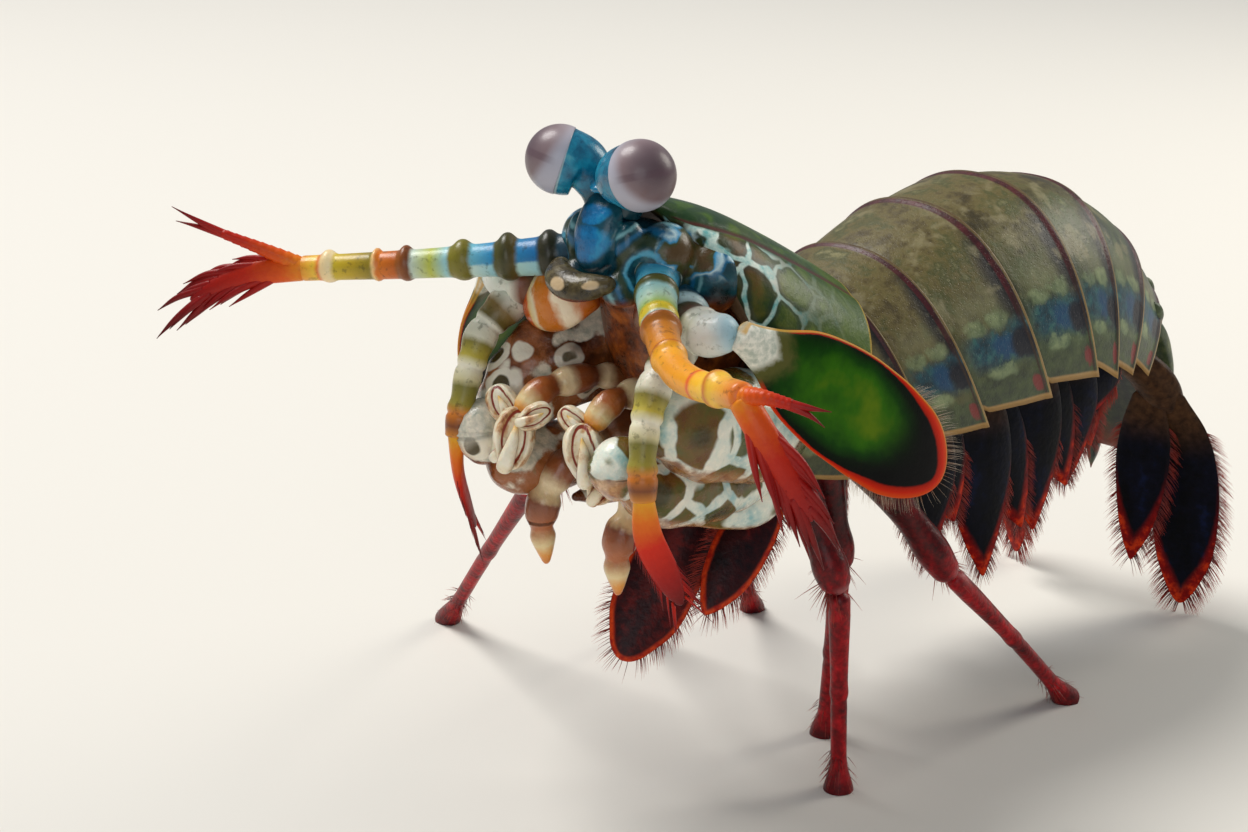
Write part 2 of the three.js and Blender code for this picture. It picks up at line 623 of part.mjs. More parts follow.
// Walking legs: hip, knee and foot of each, from the front
const legs = [
  ["left", 1, v(7.4, 19.4, 37.6), v(13.6, 21, 24), v(13.2, 22.4, 0)],
  ["left", 2, v(7.4, 24.4, 38), v(8.4, 27.4, 23.4), v(3, 32, 0)],
  ["left", 3, v(8.4, 27.6, 38.4), v(16, 38, 21.6), v(18, 60, 0)],
  ["right", 1, v(-7.4, 19.4, 37.6), v(-25, 12.6, 29.6), v(-54, 22.6, 0)],
  ["right", 2, v(-7.4, 24.4, 38), v(-21, 28, 26), v(-33, 37, 0)],
  ["right", 3, v(-8.4, 27.6, 38.4), v(-19, 38, 24), v(-28, 54, 0)],
];
const between = (a, b, t) => a.clone().lerp(b, t);
const soleRadius = 1.9;
for (const [word, number, hip, knee, foot] of legs) {
  const outward = v(foot.x - knee.x, foot.y - knee.y, 0).normalize();
  const pieces = [
    limb([hip, between(hip, knee, 0.5), knee, between(knee, foot, 0.05)], {
      wide: [2.5, 2.2, 1.9, 1.7, 2, 1.5],
      count: 7,
      steps: 4,
    }),
    limb([-0.03, 0.4, 0.86].map((t) => between(knee, foot, t)).concat(foot.clone().add(v(0, 0, -0.8))), {
      wide: [1.2, 1.25, 1.05, 0.95, 1.2, soleRadius - 0.1, soleRadius],
      facing: outward,
      count: 7,
      steps: 5,
    }),
  ];
  for (const turn of [-50, 0, 50]) {
    const way = outward.clone().applyAxisAngle(up, radians(turn));
    const root = foot.clone().addScaledVector(way, 0.9).add(v(0, 0, 0.9));
    pieces.push(spine(root, foot.clone().addScaledVector(way, 3.4).add(v(0, 0, 0.25)), 0.65, 0.8));
  }
  // The inner branch hangs from the first segment as a small red tuft
  for (const spread of [-0.8, 0.6]) {
    const root = between(hip, knee, 0.86).add(v(0, 0, -0.9));
    pieces.push(spine(root, root.clone().add(v(spread, spread, -5)), 0.7, 0.9));
  }
  place(`leg_${number}_${word}`, "leg", pieces);
}

// Swimmerets: two oval flaps on a short stalk under each belly ring, with barbed lower edges
const flapLength = [23, 29, 27, 22, 14];
flapLength.forEach((length, k) => {
  const station = stationAt(k + 3, k + 4, 0.75);
  const slope = radians(station.slope);
  const rise = v(0, -Math.sin(slope), Math.cos(slope));
  const ahead = v(0, Math.cos(slope), Math.sin(slope));
  const belly = v(0, station.y, station.z)
    .addScaledVector(rise, bellyLift - station.deep)
    .addScaledVector(ahead, flankSweep * 0.6);
  for (const [word, side] of sides) {
    const root = belly.clone().add(v(side * 7.4, 0, 0)).addScaledVector(rise, 1.4);
    const hang = v(side * 0.12, k > 3 ? -0.2 : 0.1, -1).normalize();
    const facing = v(side * 0.9, -0.42, 0).normalize();
    const across = facing.clone().cross(hang).multiplyScalar(side);
    const pieces = [
      limb([root, root.clone().addScaledVector(hang, 3), root.clone().addScaledVector(hang, 6)], {
        wide: [3.6, 3.6, 2.6],
        thick: [2, 1.7, 1],
        facing,
        count: 6,
        steps: 2,
      }),
    ];
    // The outer flap lies in front of the inner one
    for (const [offset, turn, share] of [
      [1.2, -0.1, 1],
      [-1.3, 0.24, 0.9],
    ]) {
      const way = hang.clone().addScaledVector(across, turn).normalize();
      const start = root.clone().addScaledVector(hang, 3.4).addScaledVector(facing, offset);
      const reach = length * share - 3.4;
      const line = [0, 0.35, 0.7, 1].map((t) => start.clone().addScaledVector(way, t * reach));
      pieces.push(blade(line, { wide: [1.8, 3.9, 4.4, 3.7, 2.3, 0.5], facing, steps: 7 }));
    }
    place(`swimmeret_${k + 1}_${word}`, "gill", pieces);
  }
});

// Tail: the telson plate between two branched uropods that rest on the ground
const telsonLine = [v(0, 87.2, 41.6), v(0, 90.4, 38.2), v(0, 93.6, 29.6), v(0, 94.6, 20)];
const telsonFacing = v(0, 0.9, 0.42);
const telsonPieces = [
  limb(telsonLine, {
    wide: [9, 9.8, 9.9, 9.2, 7.6, 4.6],
    thick: [2, 1.8, 1.5, 1.2, 1, 0.6],
    facing: telsonFacing,
    count: 12,
    steps: 6,
  }),
];
for (const x of [-5, 0, 5]) {
  telsonPieces.push(
    limb([v(x, 90.8, 40.6), v(x * 0.98, 93, 35.8), v(x * 0.9, 95.4, 26.2)], {
      wide: [0.7, 1, 0.5],
      thick: [1.2, 1.5, 0.8],
      facing: telsonFacing,
      count: 4,
      steps: 2,
    }),
  );
}
for (const side of [-1, 1]) {
  for (const [x, y, z, reach] of [
    [2.6, 94.5, 20.4, 4.2],
    [5.8, 94.1, 23, 4],
    [8.6, 93, 28.2, 3.2],
  ]) {
    telsonPieces.push(spine(v(side * x, y, z), v(side * (x + 1), y, z - reach), 1, 1.6));
  }
}
place("telson", "shell", telsonPieces);

for (const [word, side] of sides) {
  const at = (x, y, z) => mirrored(v(x, y, z), side);
  const facing = at(-0.3, 0.9, 0.3);
  const blades = [
    [
      [at(12, 87.6, 32), at(13.4, 90.4, 22), at(13.6, 92.4, 11), at(13.2, 93.2, 1.4)],
      [2, 4, 4.6, 4.4, 3.5, 1.2],
    ],
    [
      [at(10, 86.6, 32), at(9.4, 87.6, 23), at(9, 87.8, 14), at(8.8, 87.4, 8)],
      [1.8, 3, 3.5, 3.1, 2.2, 0.6],
    ],
  ];
  const pieces = [
    limb([at(8, 83.6, 37), at(10.4, 86.8, 33.4), at(11.8, 89.4, 28.6)], {
      wide: [2.6, 3, 2.4],
      thick: [1.8, 1.8, 1.4],
      facing,
      count: 7,
      steps: 3,
    }),
    spine(at(11, 88.4, 30), at(12, 91.4, 18.6), 1.3, 1),
    ...blades.map(([line, wide]) => blade(line, { wide, facing, half: 0.35, steps: 11 })),
  ];
  place(`uropod_${word}`, "gill", pieces);
}

// Move every mesh to the part's own frame
shrimp.children.forEach((mesh) => mesh.position.copy(frameShift));

export default shrimp;
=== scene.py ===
import bpy
import math
import numpy as np
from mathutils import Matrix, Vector


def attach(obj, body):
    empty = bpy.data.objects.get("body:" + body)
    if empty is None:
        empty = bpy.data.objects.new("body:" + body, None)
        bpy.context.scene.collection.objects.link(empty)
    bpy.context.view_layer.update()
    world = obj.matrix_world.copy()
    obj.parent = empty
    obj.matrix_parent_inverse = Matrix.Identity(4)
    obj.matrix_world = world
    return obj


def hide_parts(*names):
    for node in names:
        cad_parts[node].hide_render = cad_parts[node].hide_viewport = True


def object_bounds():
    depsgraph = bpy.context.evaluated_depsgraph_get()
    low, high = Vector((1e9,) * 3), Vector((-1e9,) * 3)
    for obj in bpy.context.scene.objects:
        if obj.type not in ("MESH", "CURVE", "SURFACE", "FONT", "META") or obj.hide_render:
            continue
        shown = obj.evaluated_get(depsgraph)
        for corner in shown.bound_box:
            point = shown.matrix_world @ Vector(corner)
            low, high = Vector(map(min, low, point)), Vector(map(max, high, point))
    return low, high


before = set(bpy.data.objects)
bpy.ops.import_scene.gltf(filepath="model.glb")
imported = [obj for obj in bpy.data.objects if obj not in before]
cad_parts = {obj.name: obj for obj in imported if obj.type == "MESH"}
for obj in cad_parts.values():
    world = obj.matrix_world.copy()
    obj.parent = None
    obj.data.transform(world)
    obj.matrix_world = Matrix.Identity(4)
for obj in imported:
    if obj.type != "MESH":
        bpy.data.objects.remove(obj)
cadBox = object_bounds()
scene = bpy.context.scene

# Shapes are written in body coordinates, in mm: the head looks along -Y from y = 0, the tail lies
# towards +Y and +X is the animal's left. modelShift moves them into the frame, and mm turns them to metres.
modelShift = np.array((9.2, -35.0, 0.0))
mm = 0.001
bothSides = (("left", 1), ("right", -1))
limits = [np.array(corner) / mm - modelShift for corner in cadBox]  # the CAD's box in body coordinates


def mirrored(points, side):
    return [(x * side, y, z) for x, y, z in points]  # side is 1 or -1


def unit(vectors):
    vectors = np.asarray(vectors, float)
    return vectors / np.maximum(np.linalg.norm(vectors, axis=-1, keepdims=True), 1e-9)


def hermite(s, b, c, m1, m2):  # from b to c as s goes from 0 to 1, leaving by m1 and arriving by m2
    return ((2 * s**3 - 3 * s**2 + 1) * b + (s**3 - 2 * s**2 + s) * m1
            + (3 * s**2 - 2 * s**3) * c + (s**3 - s**2) * m2)


def smoothRow(values, t):  # a row of values spread evenly from 0 to 1, read smoothly at t
    values = np.asarray(values, float)
    t = np.clip(np.asarray(t, float), 0, 1) * (len(values) - 1)
    i = np.minimum(t.astype(int), len(values) - 2)
    s = t - i
    padded = np.concatenate((values[:1], values, values[-1:]))
    a, b, c, d = (padded[i + k] for k in range(4))
    smooth = hermite(s, b, c, (c - a) / 2, (d - b) / 2)
    return np.clip(smooth, np.minimum(b, c), np.maximum(b, c))


class Line:  # a smooth line through points, read by the share of its length
    def __init__(self, points, fine=20):
        p = np.asarray(points, float)
        p = np.vstack((2 * p[0] - p[1], p, 2 * p[-1] - p[-2]))
        rows = []
        for i in range(1, len(p) - 2):
            a, b, c, d = p[i - 1:i + 3]
            ta, tb, tc = (max(np.linalg.norm(q - r) ** 0.5, 1e-4) for q, r in ((b, a), (c, b), (d, c)))
            m1 = ((b - a) / ta - (c - a) / (ta + tb) + (c - b) / tb) * tb
            m2 = ((c - b) / tb - (d - b) / (tb + tc) + (d - c) / tc) * tb
            s = np.linspace(0, 1, fine, endpoint=False)[:, None]
            rows.append(hermite(s, b, c, m1, m2))
        self.points = np.vstack(rows + [p[-2:-1]])
        steps = np.linalg.norm(np.diff(self.points, axis=0), axis=1)
        self.length = steps.sum()
        self.share = np.concatenate(((0,), np.cumsum(steps))) / self.length

    def at(self, t):
        return np.stack([np.interp(t, self.share, self.points[:, k]) for k in range(3)], axis=-1)

    def ahead(self, t):
        return unit(self.at(np.clip(np.asarray(t) + 0.02, 0, 1)) - self.at(np.clip(np.asarray(t) - 0.02, 0, 1)))


def lumps(points, size, seed=1):  # smooth random values from -1 to 1, about size mm across
    grid = np.random.default_rng(seed).uniform(-1, 1, (24, 24, 24))
    p = np.asarray(points) / size + 100
    cell = np.floor(p).astype(int)
    s = p - cell
    s = s * s * (3 - 2 * s)
    total = np.zeros(p.shape[:-1])
    for dx in (0, 1):
        for dy in (0, 1):
            for dz in (0, 1):
                weight = (np.where(dx, s[..., 0], 1 - s[..., 0]) * np.where(dy, s[..., 1], 1 - s[..., 1])
                          * np.where(dz, s[..., 2], 1 - s[..., 2]))
                total += weight * grid[(cell[..., 0] + dx) % 24, (cell[..., 1] + dy) % 24, (cell[..., 2] + dz) % 24]
    return total


class Skin:  # one closed surface, with named values on its points; layer says which look of its piece it wears
    def __init__(self, points, faces, layer=0, **marks):
        self.points = np.asarray(points, float).reshape(-1, 3)
        self.faces = faces
        self.layer = layer
        self.uv = None
        self.marks = {}
        self.mark(**marks)

    def mark(self, **marks):
        for name, value in marks.items():
            self.marks[name] = np.zeros(len(self.points)) + np.asarray(value, float).ravel()
        return self


def tubeFaces(rows, around):  # rows of points round a closed loop, capped at both ends
    r, i = np.meshgrid(np.arange(rows - 1), np.arange(around), indexing="ij")
    a, b = r * around + i, r * around + (i + 1) % around
    faces = np.stack((a, b, b + around, a + around), axis=-1).reshape(-1, 4).tolist()
    last = (rows - 1) * around
    return faces + [list(range(around))[::-1], list(range(last, last + around))]


def tube(points, layer=0, **marks):
    return Skin(points, tubeFaces(*points.shape[:2]), layer, **marks)


def roundedEnds(size, t, length, ends):  # a section's size along t, drawn in over ends mm at both ends
    for reach, distance in zip(ends, (t * length, (1 - t) * length)):
        if reach:
            size = size * np.sqrt(np.maximum(1 - (1 - np.clip(distance / reach, 0, 1)) ** 2, 4e-4))
    return size


# An oval section swept along a smooth line: wide lies across it, thick along the facing direction.
# ends rounds the two ends over that many mm, and swell scales the section along the line.
def sweep(path, wide, thick=None, facing=(0, 0, 1), around=28, steps=40, power=2.0, ends=(0, 0), swell=None,
          layer=0):
    line = Line(path)
    thick = wide if thick is None else thick
    t = np.linspace(0, 1, steps + 1)
    if any(ends):  # more loops where the ends are round
        t = 0.35 * t + 0.65 * (3 * t**2 - 2 * t**3)
    ahead = line.ahead(t)
    facing = np.asarray(facing, float)
    rise = unit(facing - (ahead @ facing)[:, None] * ahead)
    across = np.cross(rise, ahead)
    size = roundedEnds(np.ones_like(t) if swell is None else swell(t), t, line.length, ends)
    angle = np.linspace(0, 2 * math.pi, around, endpoint=False)
    c = np.sign(np.cos(angle)) * np.abs(np.cos(angle)) ** (2 / power)
    s = np.sign(np.sin(angle)) * np.abs(np.sin(angle)) ** (2 / power)
    w, h = smoothRow(wide, t) * size, smoothRow(thick, t) * size
    points = (line.at(t)[:, None] + (w[:, None] * c)[..., None] * across[:, None]
              + (h[:, None] * s)[..., None] * rise[:, None])
    run = np.repeat(t[:, None], around, axis=1)
    skin = tube(points, layer, run=run, side=np.broadcast_to(c, run.shape), top=np.broadcast_to(s, run.shape))
    skin.line, skin.grid, skin.axes = line, points.shape[:2], (t, rise, across, ahead)
    return skin


# A flat leaf along a line, with its distance from its own outline in mm as the mark "rim"
def leaf(path, wide, thick, facing, around=48, steps=56, arch=0.0, ends=(1.2, 2.5)):
    skin = sweep(path, wide, thick, facing, around, steps, ends=ends)
    t, rise, across, ahead = skin.axes
    along = t * skin.line.length
    half = smoothRow(wide, t) * roundedEnds(np.ones_like(t), t, skin.line.length, ends)
    x = half[:, None] * skin.marks["side"].reshape(skin.grid)
    y = np.repeat(along[:, None], around, axis=1)
    edge = np.concatenate((np.stack((half, along), 1), np.stack((-half, along), 1)[::-1]))
    spots = np.stack((x, y), -1).reshape(-1, 2)
    a, b = edge, np.roll(edge, -1, axis=0)
    ab = b - a
    share = np.clip(np.einsum("nmk,mk->nm", spots[:, None] - a, ab) / np.maximum((ab**2).sum(1), 1e-9), 0, 1)
    gap = np.linalg.norm(spots[:, None] - (a + share[..., None] * ab), axis=-1).min(1)
    bend = arch * (1 - (x / np.maximum(half[:, None], 1e-3)) ** 2) * half[:, None]
    skin.points += (bend[..., None] * rise[:, None]).reshape(-1, 3)
    skin.edge = (t, half, rise, across, ahead)
    return skin.mark(rim=gap, flat=x.reshape(-1))


# Thin tapering bristles: root points, directions and lengths, bent by droop towards a direction
def bristles(roots, aims, lengths, radius=0.05, droop=(0, 0, -1), bend=0.2, steps=4, corners=3, layer=0,
             patch=None):
    count = len(roots)
    s = np.linspace(0, 1, steps + 1)
    aims = unit(aims)
    lengths = np.broadcast_to(lengths, count)[:, None, None]
    droop = np.broadcast_to(np.asarray(droop, float), (count, 3))
    centre = (np.asarray(roots)[:, None] + lengths * (s[None, :, None] * aims[:, None]
              + bend * (s**2)[None, :, None] * droop[:, None]))
    side = unit(np.cross(aims, np.where(np.abs(aims[:, 2:]) > 0.9, (1.0, 0.0, 0.0), (0.0, 0.0, 1.0))))
    other = np.cross(aims, side)
    angle = np.linspace(0, 2 * math.pi, corners, endpoint=False)
    girth = np.broadcast_to(radius, count)[:, None] * (1 - 0.92 * s**1.3)[None]
    ring = np.cos(angle)[:, None] * side[:, None, None] + np.sin(angle)[:, None] * other[:, None, None]
    points = centre[:, :, None] + girth[..., None, None] * ring
    block = np.array(tubeFaces(steps + 1, corners)[:-2])
    step = (steps + 1) * corners
    faces = (block[None] + (np.arange(count) * step)[:, None, None]).reshape(-1, 4).tolist()
    for first in range(0, count * step, step):
        faces.append([first + i for i in range(corners)][::-1])
        faces.append([first + step - corners + i for i in range(corners)])
    run = np.broadcast_to(s[None, :, None], points.shape[:3])
    own = np.broadcast_to(np.random.default_rng(count).uniform(0, 1, count)[:, None, None], points.shape[:3])
    skin = Skin(points, faces, layer, run=run, own=own)
    if patch is None:  # where each bristle lies in the bake
        patch = np.stack((np.linspace(0.02, 0.97, count), np.full(count, 0.5)), -1)
    within = np.stack((np.broadcast_to(np.linspace(0, 1, corners), points.shape[:3]), run), -1)
    skin.uv = (np.broadcast_to(patch[:, None, None], points.shape[:3] + (2,)) + 0.003 * within).reshape(-1, 2)
    return skin


def roundBall(centre, radii, axis=(0, 0, 1), around=40, steps=24, span=(0.0, 1.0)):
    axis = unit(axis)
    side = unit(np.cross(axis, (1.0, 0.0, 0.0) if abs(axis[2]) > 0.9 else (0.0, 0.0, 1.0)))
    other = np.cross(axis, side)
    polar = np.linspace(span[0], span[1], steps + 1) * math.pi
    angle = np.linspace(0, 2 * math.pi, around, endpoint=False)
    rim = np.maximum(np.sin(polar), 0.004)
    points = (np.asarray(centre, float) - (radii[2] * np.cos(polar))[:, None, None] * axis
              + (radii[0] * rim)[:, None, None] * (np.cos(angle)[:, None] * side)[None]
              + (radii[1] * rim)[:, None, None] * (np.sin(angle)[:, None] * other)[None])
    run = np.repeat((polar / math.pi)[:, None], around, axis=1)
    return tube(points, run=run, side=np.broadcast_to(np.cos(angle), run.shape),
                top=np.broadcast_to(np.sin(angle), run.shape))


def meshOf(name, skins):
    points = np.clip(np.vstack([skin.points for skin in skins]), *limits)  # nothing stands outside the CAD's box
    faces, layers, first = [], [], 0
    for skin in skins:
        faces += [[i + first for i in face] for face in skin.faces]
        layers += [skin.layer] * len(skin.faces)
        first += len(skin.points)
    mesh = bpy.data.meshes.new(name)
    mesh.from_pydata(((points + modelShift) * mm).tolist(), [], faces)
    mesh.polygons.foreach_set("material_index", layers)
    mesh.polygons.foreach_set("use_smooth", [True] * len(faces))
    for key in sorted({key for skin in skins for key in skin.marks}):
        values = np.concatenate([skin.marks.get(key, np.zeros(len(skin.points))) for skin in skins])
        mesh.attributes.new(key, "FLOAT", "POINT").data.foreach_set("value", values.astype(np.float32))
    place = mesh.attributes.new("place", "FLOAT_VECTOR", "POINT")
    place.data.foreach_set("vector", points.astype(np.float32).ravel())
    if all(skin.uv is not None for skin in skins):
        uv = np.vstack([skin.uv for skin in skins])
        corners = np.empty(len(mesh.loops), int)
        mesh.loops.foreach_get("vertex_index", corners)
        mesh.uv_layers.new(name="OFBake").data.foreach_set("uv", uv[corners].astype(np.float32).ravel())
    mesh.validate()
    mesh.update()
    return mesh


def piece(name, skins, looks, slot, *nodes):
    made = bpy.data.objects.new(name, meshOf(name, skins))
    for look in looks:
        made.data.materials.append(look)
    scene.collection.objects.link(made)
    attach(made, "root")
    if nodes:
        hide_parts(*nodes)
    return made


# Shader maths. A Val wraps a socket, and sums on it add the nodes.
class Val:
    def __init__(self, look, socket):
        self.look = look
        self.socket = socket

    def maths(self, operation, a, b):  # numbers by Math, colours by Mix, vectors by Vector Math
        kinds = [x.socket.type for x in (a, b) if isinstance(x, Val)]
        tuples = any(isinstance(x, tuple) for x in (a, b))
        if "RGBA" in kinds or (tuples and "VECTOR" not in kinds):
            return self.look.blend(a, b, 1.0, operation)
        if "VECTOR" in kinds:
            if operation == "MULTIPLY" and not isinstance(b, (Val, tuple)):
                return self.look.add("ShaderNodeVectorMath", {"operation": "SCALE"}, {0: a, "Scale": b})
            return self.look.add("ShaderNodeVectorMath", {"operation": operation}, {0: a, 1: b})
        return self.look.add("ShaderNodeMath", {"operation": operation}, {0: a, 1: b})

    def __add__(self, other):
        return self.maths("ADD", self, other)

    def __radd__(self, other):
        return self.maths("ADD", other, self)

    def __sub__(self, other):
        return self.maths("SUBTRACT", self, other)

    def __rsub__(self, other):
        return self.maths("SUBTRACT", other, self)

    def __mul__(self, other):
        return self.maths("MULTIPLY", self, other)

    def __rmul__(self, other):
        return self.maths("MULTIPLY", other, self)

    def __truediv__(self, other):
        return self.maths("DIVIDE", self, other)

    def __rtruediv__(self, other):
        return self.maths("DIVIDE", other, self)

    def __abs__(self):
        return self.look.add("ShaderNodeMath", {"operation": "ABSOLUTE"}, {0: self})


class Look:
    def __init__(self, name, roughness=0.35, coat=0.0, coatRoughness=0.15, subsurface=0.0, ior=1.5):
        self.material = bpy.data.materials.new(name)
        self.material.use_nodes = True
        self.tree = self.material.node_tree
        self.tree.nodes.clear()
        self.output = self.tree.nodes.new("ShaderNodeOutputMaterial")
        self.shader = self.tree.nodes.new("ShaderNodeBsdfPrincipled")
        self.tree.links.new(self.shader.outputs[0], self.output.inputs["Surface"])
        fixed = {"Roughness": roughness, "Coat Weight": coat, "Coat Roughness": coatRoughness,
                 "Subsurface Weight": subsurface, "Subsurface Scale": 0.001, "IOR": ior}
        for name, value in fixed.items():
            self.shader.inputs[name].default_value = value

    def add(self, kind, settings=None, values=None, output=0):  # one node: its settings, then its sockets
        node = self.tree.nodes.new(kind)
        for key, value in (settings or {}).items():
            if key == "stops":
                ramp = node.color_ramp
                while len(ramp.elements) > 1:
                    ramp.elements.remove(ramp.elements[-1])
                for k, (at, colour) in enumerate(value):
                    stop = ramp.elements[0] if k == 0 else ramp.elements.new(at)
                    stop.position = at
                    stop.color = (*colour, 1.0) if isinstance(colour, tuple) else (colour, colour, colour, 1.0)
            else:
                setattr(node, key, value)
        for key, value in (values or {}).items():
            self.feed(node.inputs[key], value)
        return Val(self, node.outputs[output])

    def feed(self, socket, value):
        if isinstance(value, Val):
            self.tree.links.new(value.socket, socket)
        elif isinstance(value, tuple):
            socket.default_value = value if socket.type == "VECTOR" else (*value[:3], 1.0)
        elif socket.type in ("RGBA", "VECTOR") and not hasattr(value, "__len__"):
            socket.default_value = (value,) * 3 if socket.type == "VECTOR" else (value, value, value, 1.0)
        else:
            socket.default_value = value

    def mark(self, name):  # a value that a skin holds on its points
        return self.add("ShaderNodeAttribute", {"attribute_name": name}, output="Fac")

    def place(self):  # the body coordinates of the shaded point, in mm
        return self.add("ShaderNodeAttribute", {"attribute_name": "place"}, output="Vector")

    def ramp(self, value, stops):
        return self.add("ShaderNodeValToRGB", {"stops": stops}, {"Fac": value})

    def blend(self, a, b, factor, how="MIX"):  # sockets 6 and 7 of a Mix node are its two colours
        return self.add("ShaderNodeMix", {"data_type": "RGBA", "blend_type": how, "clamp_factor": True},
                        {0: factor, 6: a, 7: b}, output=2)

    def step(self, value, low, high):  # 0 below low, 1 above high, smooth between them
        return self.add("ShaderNodeMapRange", {"interpolation_type": "SMOOTHSTEP"},
                        {"Value": value, "From Min": low, "From Max": high})

    def band(self, value, low, high, soft):  # 1 between low and high
        return self.step(value, low - soft, low + soft) * (1 - self.step(value, high - soft, high + soft))

    def blob(self, x, y, centre, radii, soft=0.35):  # an oval patch in the two values x and y
        u, v = (x - centre[0]) / radii[0], (y - centre[1]) / radii[1]
        return 1 - self.step(u * u + v * v, 1 - soft, 1 + soft)

    def noise(self, scale, detail=3.0, roughness=0.55, at=None, stretch=None):
        at = self.place() if at is None else at
        if stretch is not None:
            at = at * stretch
        return self.add("ShaderNodeTexNoise", {"noise_dimensions": "3D"},
                        {"Vector": at, "Scale": scale, "Detail": detail, "Roughness": roughness}, output="Fac")

    def cells(self, scale, feature="DISTANCE_TO_EDGE", at=None, randomness=1.0):
        at = self.place() if at is None else at
        return self.add("ShaderNodeTexVoronoi", {"feature": feature},
                        {"Vector": at, "Scale": scale, "Randomness": randomness}, output="Distance")

    def wobble(self, amount, scale):  # the body coordinates, bent by noise
        bent = self.add("ShaderNodeTexNoise", {"noise_dimensions": "3D"},
                        {"Vector": self.place(), "Scale": scale, "Detail": 2.0}, output="Color")
        away = self.add("ShaderNodeVectorMath", {"operation": "SUBTRACT"}, {0: bent, 1: (0.5, 0.5, 0.5)})
        return self.place() + away * amount

    def finish(self, colour, roughness=None, height=None, relief=0.05, strength=0.6):  # relief in mm
        self.feed(self.shader.inputs["Base Color"], colour)
        if roughness is not None:
            self.feed(self.shader.inputs["Roughness"], roughness)
        if height is not None:
            bump = self.add("ShaderNodeBump", {}, {"Height": height, "Distance": relief * mm, "Strength": strength})
            self.feed(self.shader.inputs["Normal"], bump)
        return self.material


def tint(r, g, b):  # a colour picked on screen, 0 to 255, as the linear values that Blender uses
    return tuple((c / 12.92 if c <= 0.04045 else ((c + 0.055) / 1.055) ** 2.4) for c in (r / 255, g / 255, b / 255))


print("tools ready")

view = {
    "place": (161.89, -186.00, 115.75),  # mm in the frame
    "target": (0.49, -24.60, 41.59),
    "lens": 63.46,
}
camera = bpy.data.objects.new("camera", bpy.data.cameras.new("camera"))
scene.collection.objects.link(camera)
camera.location = Vector(view["place"]) * mm
camera.rotation_euler = (Vector(view["target"]) - Vector(view["place"])).to_track_quat("-Z", "Y").to_euler()
camera.data.lens = view["lens"]
camera.data.sensor_width = 36
camera.data.clip_start = 0.005
scene.camera = camera

# Body rings

rings = {
    "names": ["thorax_6", "thorax_7", "thorax_8"] + [f"abdomen_{k}" for k in range(1, 7)],
    # y, z, slope in degrees, half width and depth at each joint of the back
    "stations": [(13.0, 52.0, 4, 10.2, 16), (21.5, 53.6, 4, 12.0, 18), (25.3, 54.3, 6, 13.0, 18.5),
                 (29.5, 55.4, 9, 14.0, 19), (37.5, 57.4, 10, 15.0, 20), (49.0, 60.8, 8, 15.8, 22),
                 (61.0, 62.2, 0, 16.2, 22), (72.6, 60.2, -17, 15.6, 21.4), (84.0, 53.4, -40, 14.2, 17.6),
                 (91.5, 45.2, -58, 12.0, 12.6)],
    "archPower": 2.25,  # squareness of the section
    "flankSweep": 3.4,  # how far the lower corners trail
    "bellyLift": 5.0,
    "plate": 1.3,  # thickness of the side plates
    "tuck": 1.1,  # how far a ring starts under the one before it
    "across": 96,
    "steps": 30,
    "rearSpines": (-10.5, -7.0, -3.0, 3.0, 7.0, 10.5),
}


def stationAt(a, b, t):
    start, end = rings["stations"][a], rings["stations"][b]
    bend = math.radians(end[2] - start[2]) * t * (1 - t) * 0.5
    chord = math.hypot(end[0] - start[0], end[1] - start[1])
    mixed = [p + (q - p) * t for p, q in zip(start, end)]
    mixed[1] -= bend * chord  # the back curves between two stations
    return mixed


def stationAxes(station):
    slope = math.radians(station[2])
    return (np.array((0, station[0], station[1])), np.array((0, math.cos(slope), math.sin(slope))),
            np.array((0, -math.sin(slope), math.cos(slope))))


def bandLoop(station, inset, shift, lift):  # one loop round the body: the arch, then the belly
    back, ahead, rise = stationAxes(station)
    half, deep = station[3] - inset, station[4] - inset - lift
    angle = np.radians(np.linspace(90, -90, rings["across"] + 1))
    fold = 2 / rings["archPower"]
    x = half * np.sign(np.sin(angle)) * np.abs(np.sin(angle)) ** fold
    down = deep * (1 - np.abs(np.cos(angle)) ** fold)
    arc = np.concatenate(((0,), np.cumsum(np.hypot(np.diff(x), np.diff(down)))))
    arc = np.abs(2 * arc / arc[-1] - 1)
    inner = half - rings["plate"]
    wall, base = np.linspace(0, 1, 7)[1:], np.linspace(-1, 1, 13)
    wallDown = deep - 0.25 - (rings["bellyLift"] - 0.25) * wall
    bellyX = np.concatenate((-inner + 0.2 * wall, (inner - 0.5) * base, (inner - 0.2 * wall)[::-1]))
    bellyDown = np.concatenate((wallDown, deep - rings["bellyLift"] - 0.6 + 1.2 * (1 - base ** 2), wallDown[::-1]))
    x, down = np.concatenate((x, bellyX)), np.concatenate((down, bellyDown))
    under = np.concatenate((np.zeros(len(arc)), np.ones(len(bellyX))))
    arc = np.concatenate((arc, np.ones(len(bellyX))))
    points = (back + x[:, None] * (1, 0, 0) + (-inset - down)[:, None] * rise
              + (shift + rings["flankSweep"] * (down / station[4]) ** 2)[:, None] * ahead)
    return points, arc, under


